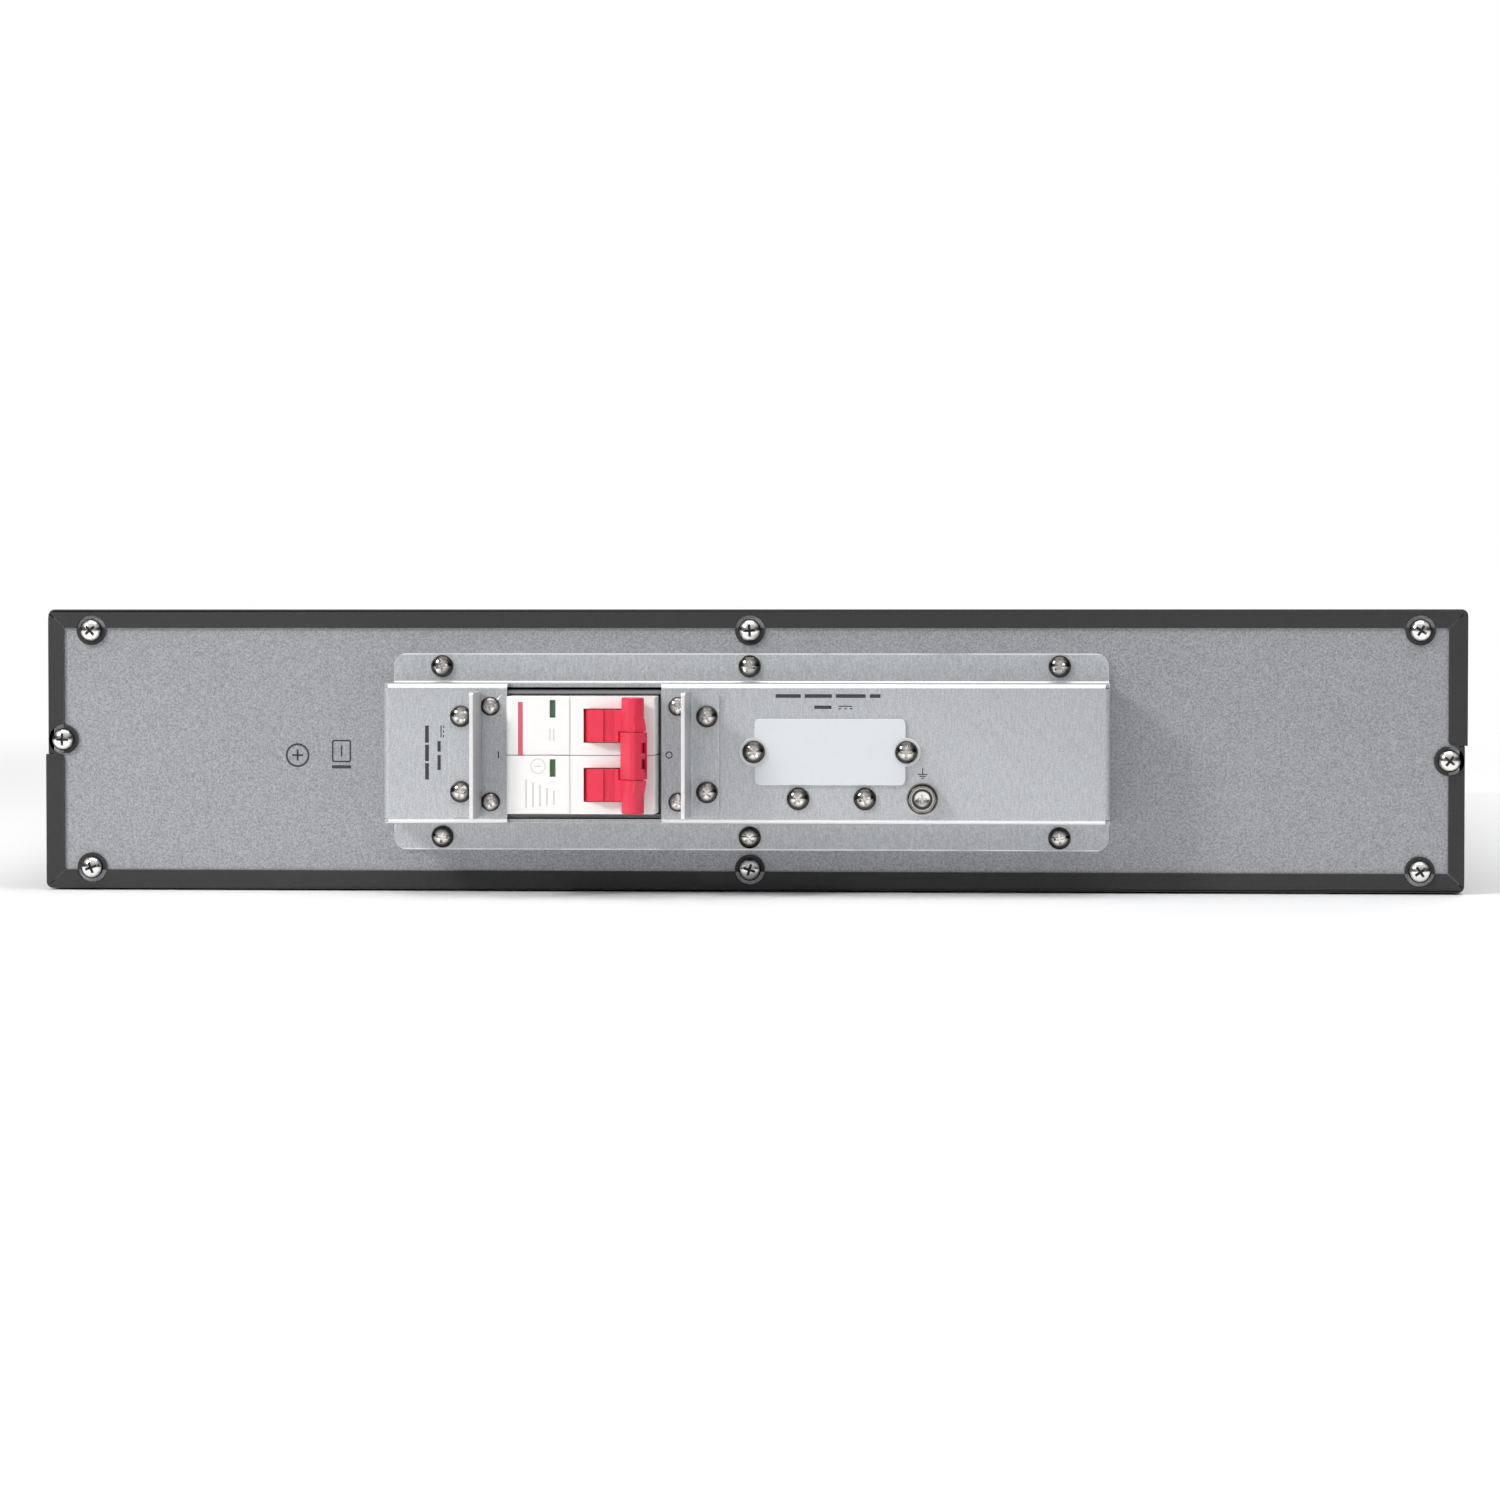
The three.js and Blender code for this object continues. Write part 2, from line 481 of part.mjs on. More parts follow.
addPiece("toggle_upper", toggle(1), finishes.redToggle, toggles);
addPiece("toggle_lower", toggle(-1), finishes.redToggle, toggles);
addPiece("toggle_tie_bar", tieBar(), finishes.redToggle, toggles);

const pinLength = BREAKER.pitch + BREAKER.poleWidth - 2;
const pinBar = new THREE.CylinderGeometry(TOGGLE.pin, TOGGLE.pin, pinLength, 12);
const pin = addPiece("toggle_pin", pinBar, finishes.nickel);
pin.rotation.x = Math.PI / 2;
pin.position.set(toggleX, toggleY, BREAKER.z);

// ---- breaker cradle and rail ------------------------------------------------------------------------
// A channel behind the web: its face is screwed on, and its two walls carry the rail that the poles clip on.

function cradle() {
  const rise = BREAKER.pitch + CRADLE.room;
  const face = webY + BOX.sheet + FIT;
  const back = noseY + BREAKER_BODY.depth + CRADLE.past;
  const { half, sheet } = CRADLE;
  const outer = rise + sheet;
  const section = roundedOutline([
    [back, BREAKER.z - outer], [face, BREAKER.z - outer, 2], [face, BREAKER.z + outer, 2],
    [back, BREAKER.z + outer], [back, BREAKER.z + rise], [face + sheet, BREAKER.z + rise, 0.8],
    [face + sheet, BREAKER.z - rise, 0.8], [back, BREAKER.z - rise]], 3);
  const channel = solid(extrude(section, 2 * half, along(BREAKER.x - half)));
  const reach = BREAKER.noseLength / 2 + 2 * CLEAR;
  const window = block(BREAKER.x - reach, BREAKER.x + reach, face - 1, face + sheet + 1,
    BREAKER.z - rise + 0.1, BREAKER.z + rise - 0.1);
  const holes = drills(cradleScrews, SHANK.small + CLEAR, face - 1, face + sheet + 1);
  return cut(channel, window, ...holes);
}
addPiece("breaker_cradle", cradle(), finishes.boxSteel);

function dinRail() {
  const { sheet, width, depth } = RAIL;
  const front = noseY + BREAKER_BODY.depth - RAIL.recess + CLEAR;
  const back = front + depth;
  const wide = width / 2;
  const narrow = wide - RAIL.flange;
  const section = roundedOutline([
    [-wide, front], [-narrow, front, 1], [-narrow, back - sheet, 0.5], [narrow, back - sheet, 0.5],
    [narrow, front, 1], [wide, front], [wide, front + sheet], [narrow + sheet, front + sheet, 0.5],
    [narrow + sheet, back, 1], [-narrow - sheet, back, 1], [-narrow - sheet, front + sheet, 0.5],
    [-wide, front + sheet]].map(([x, y, radius]) => [BREAKER.x + x, y, radius]), 2);
  const length = 2 * (BREAKER.pitch + CRADLE.room - FIT);
  return extrude(section, length, standing(0, 0, BREAKER.z - length / 2));
}
addPiece("din_rail", dinRail(), finishes.boxSteel);

// ---- battery connector ------------------------------------------------------------------------------
function batteryConnector() {
  const flangeFace = webY + BOX.sheet + FIT;
  const flangeBack = flangeFace + CONNECTOR.flange;
  const back = webY + CONNECTOR.depth;
  const { halfWidth: wide, halfHeight: high } = CONNECTOR;
  const middle = PLATE.x + CONNECTOR.footSide;
  const { flangeHalf, flangeBelow, flangeAbove, footHalf, footBelow } = CONNECTOR;
  const housing = join(
    block(PLATE.x - wide, PLATE.x + wide, webY + CLEAR, back, PLATE.z - high, PLATE.z + high),
    block(PLATE.x - flangeHalf, PLATE.x + flangeHalf, flangeFace, flangeBack,
      PLATE.z - high - flangeBelow, PLATE.z + high + flangeAbove),
    block(middle - footHalf, middle + footHalf, flangeFace, flangeBack,
      connectorScrew.z - footBelow, PLATE.z - high),
  );
  const screws = [...plateScrews, ...connectorScrews];
  const holes = drills(screws, SHANK.case + CLEAR, flangeFace - 1, flangeBack + 1);
  const poles = [-1, 1].map((side) => [PLATE.x + side * CONNECTOR.pole, PLATE.z]);
  const sockets = poles.map(([x, z]) => barY(x, z, CONNECTOR.bore, webY, webY + CONNECTOR.boreDepth));
  const wells = poles.map(([x, z]) => barY(x, z, TERMINAL.bore, back - CONNECTOR.well, back + 1));
  return cut(housing, ...holes, ...sockets, ...wells);
}
addPiece("battery_connector", batteryConnector(), finishes.blackPlastic);

// ---- twelve-volt blocks -----------------------------------------------------------------------------
// Four columns, each of two taped pairs end to end. The blocks lie on their sides, tabs towards an aisle.
const blockFloor = CASE.sheet + CLEAR;
const pairLength = 2 * BLOCK.length;
const frontPairY = frontY - PEG.length - 1 - pairLength; // rear end of the front pair
const rearPairY = frontPairY - pairLength - 2 * CLEAR;

function blockPair(column, y) {
  const outerColumn = Math.abs(column) > 1;
  const side = Math.sign(column);
  const near = outerColumn ? aisle.outer : aisle.inner - BLOCK.height;
  const far = near + BLOCK.height;
  const [x0, x1] = side < 0 ? [-far, -near] : [near, far];
  const top = blockFloor + BLOCK.width;
  const body = block(x0, x1, y, y + pairLength, blockFloor, top);
  const out = outerColumn ? -side : side;
  const face = side * (outerColumn ? aisle.outer : aisle.inner);
  const tabEnd = face + out * TAB.reach;
  const tabZ = top - TAB.fromTop;
  const tabs = [0, BLOCK.length].flatMap((start) => [TAB.fromEnd, BLOCK.length - TAB.fromEnd].map((set) =>
    block(Math.min(face - out, tabEnd), Math.max(face - out, tabEnd),
      y + start + set - TAB.width / 2, y + start + set + TAB.width / 2, tabZ - TAB.sheet, tabZ)));
  const joint = y + BLOCK.length;
  const grooves = [block(x0 - 1, x1 + 1, joint - 0.4, joint + 0.4, top - 2, top + 1),
    block(x0 - 1, x1 + 1, joint - 0.4, joint + 0.4, blockFloor - 1, blockFloor + 2)];
  return cut(join(body, ...tabs), ...grooves);
}

[-2, -1, 1, 2].forEach((column, i) => {
  addPiece(`battery_pair_rear_${i + 1}`, blockPair(column, rearPairY), finishes.blockCase);
  addPiece(`battery_pair_front_${i + 1}`, blockPair(column, frontPairY), finishes.blockCase);
});

// ---- leads ------------------------------------------------------------------------------------------
const entryY = noseY + TERMINAL.depth;
const leftEnd = BREAKER.x - BREAKER_BODY.length / 2;
const rightEnd = BREAKER.x + BREAKER_BODY.length / 2;
const aisleX = (aisle.inner + aisle.outer) / 2;
const leadEndZ = blockFloor + BLOCK.width - TAB.fromTop + LEAD.radius + 1; // just above a tab

function lead(points) {
  const stations = points.map(([x, y, z]) => new THREE.Vector3(x, y, z));
  const route = new THREE.CatmullRomCurve3(stations, false, "centripetal");
  const section = new THREE.Shape(circleOutline(0, 0, LEAD.radius, LEAD.sides));
  const steps = Math.ceil(route.getLength() / (3 * LEAD.radius));
  return new THREE.ExtrudeGeometry(section, { steps, bevelEnabled: false, extrudePath: route });
}

// From the breaker's left end, between the box and the blocks, to the nearest tab in each aisle.
addPiece("battery_lead_positive", lead([
  [leftEnd + 5, entryY, poleCentres.upper], [leftEnd - 3, entryY, poleCentres.upper],
  [leftEnd - 9, entryY + 4, poleCentres.upper], [-102, entryY + 14, 53], [-104, entryY + 22, 57],
  [-108, entryY + 29, 61], [-aisleX, rearPairY - 2, 62.5], [-aisleX, rearPairY + 6, leadEndZ],
]), finishes.redCable);
addPiece("battery_lead_negative", lead([
  [leftEnd + 5, entryY, poleCentres.lower], [leftEnd - 3, entryY, poleCentres.lower],
  [leftEnd - 8, entryY + 5, poleCentres.lower], [-99, entryY + 16, 31], [-94, entryY + 27, 28],
  [-80, entryY + 29, 26], [-50, entryY + 29, 25], [0, entryY + 29, 25], [50, entryY + 29, 26],
  [85, entryY + 28, 32], [102, entryY + 27, 44], [109, entryY + 27, 55], [aisleX, rearPairY - 2, 62],
  [aisleX, rearPairY + 6, leadEndZ],
]), finishes.blackCable);

// From the breaker's right end round into the back of the connector.
const wellY = webY + CONNECTOR.depth;
addPiece("connector_lead_positive", lead([
  [rightEnd - 5, entryY, poleCentres.upper], [rightEnd + 3, entryY, poleCentres.upper],
  [rightEnd + 12, entryY + 2, poleCentres.upper - 2], [12.5, entryY + 1, 46.5],
  [16.4, wellY + 5, 43.8], [PLATE.x - CONNECTOR.pole, wellY, PLATE.z],
  [PLATE.x - CONNECTOR.pole, wellY - 4, PLATE.z],
]), finishes.redCable);
addPiece("connector_lead_negative", lead([
  [rightEnd - 5, entryY, poleCentres.lower], [rightEnd + 4, entryY, poleCentres.lower],
  [10, entryY + 3, 34], [22, entryY + 5, 37], [31, entryY + 1, 41.5],
  [34.4, wellY + 5, 43.2], [PLATE.x + CONNECTOR.pole, wellY, PLATE.z],
  [PLATE.x + CONNECTOR.pole, wellY - 4, PLATE.z],
]), finishes.blackCable);

// ---- front panel and bezel --------------------------------------------------------------------------
const bezelPegs = corners(190, 25).map(([x, z]) => [x, CASE.height / 2 + z]);

function frontPanel() {
  const { sheet, margin, returns } = PANEL;
  const outer = frontY - CASE.sheet - FIT;
  const right = halfWidth - CASE.lap - margin;
  const high = CASE.height - margin;
  const outline = rectangle(0, CASE.height / 2, 2 * right, high - margin);
  return join(
    plate(outline, outer, sheet, holesAt(bezelPegs, PEG.radius + CLEAR)),
    block(14 - right, right - 14, outer - sheet - returns, outer - sheet / 2, high - sheet, high),
  );
}
addPiece("front_panel", frontPanel(), finishes.panelSteel);

function bezel() {
  const { wall, corner } = BEZEL;
  const outline = (inset) =>
    rectangle(0, CASE.height / 2, CASE.width - 2 * inset, CASE.height - 2 * inset, corner - inset, 4);
  const back = frontY + FIT;
  const body = solid(plate(outline(0), frontFaceY, frontFaceY - back));
  const pocket = plate(outline(wall), frontFaceY - wall, BEZEL.depth);
  const pegs = bezelPegs.map(([x, z]) => barY(x, z, PEG.radius, frontY - PEG.length, frontFaceY - wall / 2));
  const slots = [-1, 1].flatMap((side) => Array.from({ length: VENT.rows }, (_, row) => {
    const z = CASE.height / 2 + (row - (VENT.rows - 1) / 2) * VENT.pitch;
    const [x0, x1] = side < 0 ? [-VENT.outer, -VENT.inner] : [VENT.inner, VENT.outer];
    return block(x0, x1, frontFaceY - wall - 1, frontFaceY + 1, z - VENT.height / 2, z + VENT.height / 2);
  }));
  return cut(cut(body, pocket).add(join(...pegs)), ...slots);
}
addPiece("front_bezel", bezel(), finishes.blackPlastic);

// ---- fasteners --------------------------------------------------------------------------------------
// A cross-recessed pan head on a plain shank. Its seat is at y = 0, the shank along +Y.
function panScrew(head, height, shank, length) {
  const profile = [[0, -height], [head * 0.5, -height], [head * 0.95, -height * 0.5], [head, 0],
    [shank, 0], [shank, length], [0, length]];
  const turned = new THREE.LatheGeometry(profile.map(([r, y]) => new THREE.Vector2(r, y)), 10);
  const arm = head * 0.56;
  const half = head * 0.11;
  const floor = -height * 0.45;
  return cut(solid(turned), block(-arm, arm, -height - 1, floor, -half, half),
    block(-half, half, -height - 1, floor, -arm, arm));
}

// A hexagon head with a dished, cross-recessed top.
function earthScrew() {
  const { head, height, length, dish, arm, slot } = EARTH_SCREW;
  const hexagon = new THREE.CylinderGeometry(head, head, height, 6);
  hexagon.rotateY(Math.PI / 6).translate(0, -height / 2, 0);
  const shank = new THREE.CylinderGeometry(SHANK.case, SHANK.case, length, 12);
  shank.translate(0, length / 2 - 0.5, 0);
  const hollow = new THREE.CylinderGeometry(dish, dish, 2, 16).translate(0, -height, 0);
  return cut(join(hexagon, shank), hollow, block(-arm, arm, -height, -1, -slot, slot),
    block(-slot, slot, -height, -1, -arm, arm));
}

function addScrews(name, places, seatY, shape) {
  const geometry = toGeometry(shape);
  places.forEach(([x, z], i) => {
    const screw = addPiece(`${name}_${i + 1}`, geometry, finishes.nickel);
    screw.position.set(x, seatY, z);
  });
}

const guardSeat = webY - FIT - GUARD.sheet - FIT;
addScrews("case_screw", caseScrews, rearY - FIT, panScrew(3.45, 2.4, SHANK.case, 8));
addScrews("box_screw", boxScrews, panelY - 2 * FIT - BOX.sheet, panScrew(3.45, 2.4, SHANK.case, 7));
addScrews("guard_screw", guardScrews, guardSeat, panScrew(3.3, 2.4, SHANK.case, 6));
addScrews("cradle_screw", cradleScrews, webY - FIT, panScrew(2.9, 2, SHANK.small, 4.6));
addScrews("plate_screw", plateScrews, webY - 2 * FIT - PLATE.sheet, panScrew(3.45, 2.4, SHANK.case, 6));
addScrews("connector_screw", connectorScrews, webY - FIT, panScrew(3.45, 2.4, SHANK.case, 6));

const washerFace = webY - FIT;
addPiece("earth_washer", plate(circleOutline(earth.x, earth.z, WASHER.radius, 20), washerFace, WASHER.sheet,
  [circleOutline(earth.x, earth.z, SHANK.case + CLEAR)]), finishes.nickel);
const earthBolt = addPiece("earth_screw", earthScrew(), finishes.nickel);
earthBolt.position.set(earth.x, washerFace - WASHER.sheet - FIT, earth.z);

export default cabinet;
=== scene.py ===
# Rack battery cabinet: folded black case, plain steel connection side with a raised terminal box,
# a guarded two-pole breaker with a tied toggle, a blanked connector and an earth screw.
# Lengths are in millimetres until a mesh is finished; Blender's own units are metres.
import bmesh
import bpy
import math
from mathutils import Matrix, Vector


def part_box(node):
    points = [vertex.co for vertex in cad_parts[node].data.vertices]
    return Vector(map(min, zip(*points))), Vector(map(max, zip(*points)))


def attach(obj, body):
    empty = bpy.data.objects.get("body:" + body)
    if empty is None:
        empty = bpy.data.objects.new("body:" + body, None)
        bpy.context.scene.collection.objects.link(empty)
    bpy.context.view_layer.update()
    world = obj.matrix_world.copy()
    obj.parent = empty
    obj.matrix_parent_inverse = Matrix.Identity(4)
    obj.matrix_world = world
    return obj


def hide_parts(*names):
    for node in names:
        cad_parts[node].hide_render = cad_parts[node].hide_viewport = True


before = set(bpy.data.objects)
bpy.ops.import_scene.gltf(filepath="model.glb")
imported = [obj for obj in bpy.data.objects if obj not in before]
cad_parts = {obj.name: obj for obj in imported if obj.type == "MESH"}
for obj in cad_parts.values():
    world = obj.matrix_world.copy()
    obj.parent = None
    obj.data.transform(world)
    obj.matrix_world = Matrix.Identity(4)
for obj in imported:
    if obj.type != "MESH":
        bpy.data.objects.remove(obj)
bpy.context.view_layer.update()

MM = 0.001
SIDES = (-1, 1)


def node_box(name):
    """Lowest and highest corners of a node at rest, in millimetres."""
    low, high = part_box(name)
    return Vector(low) / MM, Vector(high) / MM


def node_centre(name):
    low, high = node_box(name)
    return (low + high) / 2


# ---- places taken from the frame -----------------------------------------------------------------
cover_low, cover_high = node_box("top_cover")
box_low, box_high = node_box("terminal_box")
pole_low, pole_high = node_box("breaker_pole_upper")
bezel_low, bezel_high = node_box("front_bezel")
pin_middle = node_centre("toggle_pin")

CASE_TOP = cover_high.z
HALF_WIDTH = cover_high.x
TONGUE_X = cover_low.x
REAR_Y, FRONT_Y = cover_low.y, cover_high.y
PANEL_Y = node_box("rear_panel")[0].y
WEB_Y = box_low.y
NOSE_Y = pole_low.y
BOX_Z = (box_low.z + box_high.z) / 2
BREAKER_X = (pole_low.x + pole_high.x) / 2
BREAKER_Z = pin_middle.z

# ---- sizes ---------------------------------------------------------------------------------------
CASE = {"sheet": 0.8, "bend": 2.0, "lip_bend": 1.1, "lip": 5.8, "lobe": 4.6, "slit": 0.3, "seam": 41.6}
BOX = {"sheet": 1.2, "bend": 1.8, "tight": 0.6, "web": 42.6, "foot_corner": 3.9, "relief": 1.1}
GUARD = {"height": 38, "flange": 10, "sheet": 1.2, "inner": 31.1, "corner": 2.2, "tip": 1.2}
PLATE = {"width": 45.6, "height": 20, "ear": 4.3, "ear_span": 46.1, "sheet": 1}
NOSE = {"length": 45, "depth": 17, "width": 17.6, "body": 81, "back": 62, "pitch": 17.8}
TOGGLE = {"hub": 8.6, "hub_width": 9.7, "root": 9.9, "tip": 16.2, "thick": 5.2, "paddle": 17.1,
          "mouth": 7.9, "swing": 36}
CLIP = {"half": 7, "wall": 0.8, "recess": 0.5}
BEZEL = {"wall": 2.5, "corner": 6, "slot": (134, 5), "slot_x": 129, "slot_pitch": 11, "badge": (108, 62)}
WINDOW = 47
SOCKET = (40, 16)
FLAG = {"travel": 2.3, "window": (1.8, 5.3), "room": (7.5, 6.5)}
LABEL_EDGE = 3.4
EAR_HOLES = {"height": 65, "radius": 2.1, "behind_front": (30, 60, 90)}
# Head radius, head height, shank radius and length of each screw.
SCREWS = {"bright": (3.45, 2.4, 2, 6), "large": (3.45, 2.4, 2, 6), "middle": (3.3, 2.4, 2, 6),
          "small": (2.9, 2, 1.5, 4.6)}
EARTH = {"washer": 4.95, "corner": 4.5, "crown": 3.95, "rim": 4.7, "dish": 2.6, "shank": 8.4}
HOLE = 2.3
SMALL_HOLE = 1.8
PIN_BORE = 1.9
GAP = 0.1
# Edges sharper than these angles stay crisp: on folded sheet, on mouldings and on screws.
SHEET_CREASE, MOULD_CREASE, SCREW_CREASE = 40, 50, 42


# ---- outlines ------------------------------------------------------------------------------------
def circle(x, y, radius, steps=40):
    turns = [2 * math.pi * k / steps for k in range(steps)]
    return [(x + radius * math.cos(a), y + radius * math.sin(a)) for a in turns]


def rounded(corners, steps=7):
    """An outline through corners (x, y, radius); a corner with no radius stays sharp."""
    points = []
    count = len(corners)
    for i, corner in enumerate(corners):
        at = Vector(corner[:2])
        radius = corner[2] if len(corner) > 2 else 0
        if not radius:
            points.append(tuple(at))
            continue
        back = (Vector(corners[i - 1][:2]) - at).normalized()
        ahead = (Vector(corners[(i + 1) % count][:2]) - at).normalized()
        half = back.angle(ahead) / 2
        centre = at + (back + ahead).normalized() * radius / math.sin(half)
        reach = radius / math.tan(half)
        start = at + back * reach - centre
        end = at + ahead * reach - centre
        first = math.atan2(start.y, start.x)
        turn = (math.atan2(end.y, end.x) - first + math.pi) % (2 * math.pi) - math.pi
        for k in range(steps + 1):
            a = first + turn * k / steps
            points.append((centre.x + radius * math.cos(a), centre.y + radius * math.sin(a)))
    return points


def rectangle(x, y, width, height, radius=0):
    w, h = width / 2, height / 2
    return rounded([(x - w, y - h, radius), (x + w, y - h, radius), (x + w, y + h, radius),
                    (x - w, y + h, radius)])


# ---- solids --------------------------------------------------------------------------------------
def tidy(bm):
    """Welds doubled points and merges faces that lie in one plane."""
    bmesh.ops.remove_doubles(bm, verts=bm.verts[:], dist=1e-4)
    bmesh.ops.dissolve_limit(bm, angle_limit=math.radians(0.5), verts=bm.verts[:], edges=bm.edges[:])
    return bm


def prism(outline, depth, place, holes=()):
    """A solid of constant section; place turns a point (x, y, depth) into the object's frame."""
    bm = bmesh.new()
    edges = []
    for loop in [outline, *holes]:
        verts = [bm.verts.new((x, y, 0)) for x, y in loop]
        edges += [bm.edges.new((verts[i - 1], verts[i])) for i in range(len(verts))]
    near = bm.verts[:]
    bmesh.ops.triangle_fill(bm, use_beauty=True, use_dissolve=False, edges=edges, normal=(0, 0, 1))
    far = {vert: bm.verts.new((vert.co.x, vert.co.y, depth)) for vert in near}
    for face in bm.faces[:]:
        bm.faces.new([far[vert] for vert in reversed(face.verts)])
    first = 0
    for loop in [outline, *holes]:
        rim = near[first:first + len(loop)]
        first += len(loop)
        for start, end in zip(rim, rim[1:] + rim[:1]):
            bm.faces.new((start, end, far[end], far[start]))
    for vert in bm.verts:
        vert.co = place(*vert.co)
    bmesh.ops.recalc_face_normals(bm, faces=bm.faces[:])
    return tidy(bm)


def facing(y):
    """Places an outline in the XZ plane; its thickness runs towards +Y from y."""
    return lambda a, b, depth: (a, y + depth, b)


def standing(z):
    """Places an outline in plan; its thickness runs upwards from z."""
    return lambda a, b, depth: (a, b, z + depth)


def lengthways(x):
    """Places an outline of (y, z); its thickness runs towards +X from x."""
    return lambda a, b, depth: (x + depth, a, b)


def block(x0, x1, y0, y1, z0, z1):
    return prism([(x0, y0), (x1, y0), (x1, y1), (x0, y1)], z1 - z0, standing(z0))


def bar(x, z, radius, y0, y1, steps=40):
    return prism(circle(x, z, radius, steps), y1 - y0, facing(y0))


def turned(profile, steps=48):
    """A solid turned about Y from (radius, y) points; it starts and ends on the axis."""
    bm = bmesh.new()
    rings = []
    for radius, y in profile:
        if radius < 1e-6:
            rings.append([bm.verts.new((0, y, 0))])
        else:
            rings.append([bm.verts.new((x, y, z)) for x, z in circle(0, 0, radius, steps)])
    for low, high in zip(rings, rings[1:]):
        for k in range(steps):
            j = (k + 1) % steps
            if len(low) == 1:
                bm.faces.new((low[0], high[k], high[j]))
            elif len(high) == 1:
                bm.faces.new((low[k], low[j], high[0]))
            else:
                bm.faces.new((low[k], low[j], high[j], high[k]))
    bmesh.ops.recalc_face_normals(bm, faces=bm.faces[:])
    return bm


def scratch_object(bm):
    mesh = bpy.data.meshes.new("work")
    bm.to_mesh(mesh)
    bm.free()
    made = bpy.data.objects.new("work", mesh)
    bpy.context.scene.collection.objects.link(made)
    return made


def discard(made):
    mesh = made.data
    bpy.data.objects.remove(made)
    bpy.data.meshes.remove(mesh)


def worked(body, tools):
    """The body's mesh with its modifiers applied; the body and the tools are used up."""
    graph = bpy.context.evaluated_depsgraph_get()
    result = bmesh.new()
    result.from_mesh(body.evaluated_get(graph).to_mesh())
    for made in [body, *tools]:
        discard(made)
    return result


def combine(bm, tools, operation):
    """Joins the tools to a solid, cuts them out of it, or keeps what it shares with them."""
    body = scratch_object(bm)
    others = [scratch_object(tool) for tool in tools]
    for other in others:
        step = body.modifiers.new("step", "BOOLEAN")
        step.object = other
        step.operation = operation
        step.solver = "EXACT"
    return tidy(worked(body, others))


def cut(bm, *tools):
    return combine(bm, tools, "DIFFERENCE")


def join(bm, *tools):
    return combine(bm, tools, "UNION")


def together(*parts):
    """Several separate solids in one mesh."""
    whole = bmesh.new()
    for part in parts:
        mesh = bpy.data.meshes.new("work")
        part.to_mesh(mesh)
        part.free()
        whole.from_mesh(mesh)
        bpy.data.meshes.remove(mesh)
    return whole


def softened(bm, width, segments=2, angle=60):
    """Rounds every edge sharper than the angle, as a deburred or moulded edge is."""
    body = scratch_object(bm)
    edge = body.modifiers.new("edge", "BEVEL")
    edge.width = width
    edge.segments = segments
    edge.limit_method = "ANGLE"
    edge.angle_limit = math.radians(angle)
    edge.use_clamp_overlap = True
    return worked(body, [])


def is_level(face):
    """True for a face square to one of the frame's axes, as every flat sheet of the object is."""
    return max(abs(part) for part in face.normal) > 0.9999


def fans(vert):
    """The faces round a corner, in groups that run on smoothly into each other."""
    left = list(vert.link_faces)
    while left:
        fan = [left.pop(0)]
        for face in fan:
            for edge in face.edges:
                if edge.smooth and vert in edge.verts:
                    fresh = [other for other in edge.link_faces if other in left]
                    fan += fresh
                    left = [other for other in left if other not in fresh]
        yield fan


def corner_normals(bm):
    """Flat sheets shade flat right up to their edges, and bends and rounded edges run into them."""
    normals = {}
    for vert in bm.verts:
        for fan in fans(vert):
            flats = [face.normal for face in fan if is_level(face)]
            distinct = [n for i, n in enumerate(flats) if all(n.dot(m) < 0.99 for m in flats[:i])]
            blend_in = distinct or [face.normal * face.calc_area() for face in fan]
            shared = sum(blend_in, Vector()).normalized()
            for face in fan:
                normals[face.index, vert.index] = face.normal.copy() if is_level(face) else shared
    return normals


def as_mesh(name, bm, material, angle):
    """Writes a solid out in metres; edges sharper than the angle stay crisp."""
    bm.normal_update()
    bm.verts.index_update()
    bm.faces.index_update()
    for face in bm.faces:
        face.smooth = True
    for edge in bm.edges:
        edge.smooth = len(edge.link_faces) == 2 and edge.calc_face_angle(0) < math.radians(angle)
    normals = corner_normals(bm)
    bm.transform(Matrix.Scale(MM, 4))
    mesh = bpy.data.meshes.new(name)
    bm.to_mesh(mesh)
    bm.free()
    mesh.normals_split_custom_set([normals[face.index, mesh.loops[corner].vertex_index]
                                   for face in mesh.polygons for corner in face.loop_indices])
    mesh.materials.append(material)
    return mesh


def piece(name, bm, material, body, slot, stands_for, angle=52):
    """Finishes a solid as an object that rides on a body and stands for a node."""
    return placed(name, as_mesh(name, bm, material, angle), body, slot, stands_for)


def linked(name, data):
    """A new object in the scene."""
    made = bpy.data.objects.new(name, data)
    bpy.context.scene.collection.objects.link(made)
    return made


def placed(name, mesh, body, slot, stands_for, matrix=None):
    made = linked(name, mesh)
    if matrix:
        made.matrix_world = matrix
    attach(made, body)
    if stands_for:
        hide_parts(stands_for)
    return made


# ---- surface effects, each a node group ----------------------------------------------------------
def effect(name, inputs, outputs):
    """An empty node group with float inputs {name: default} and named outputs."""
    group = bpy.data.node_groups.new(name, "ShaderNodeTree")
    for label, value in inputs.items():
        socket = group.interface.new_socket(label, in_out="INPUT", socket_type="NodeSocketFloat")
        socket.default_value = value
    for label, kind in outputs.items():
        group.interface.new_socket(label, in_out="OUTPUT", socket_type=kind)
    return group, group.nodes.new("NodeGroupInput"), group.nodes.new("NodeGroupOutput")


def add(tree, kind, settings=(), **values):
    """A node with its settings and its sockets' values or links."""
    node = tree.nodes.new("ShaderNode" + kind)
    for key, value in dict(settings).items():
        setattr(node, key, value)
    for key, value in values.items():
        socket = node.inputs[int(key[1:])] if key[0] == "_" and key[1:].isdigit() else node.inputs[key]
        if isinstance(value, bpy.types.NodeSocket):
            tree.links.new(value, socket)
        else:
            socket.default_value = value
    return node


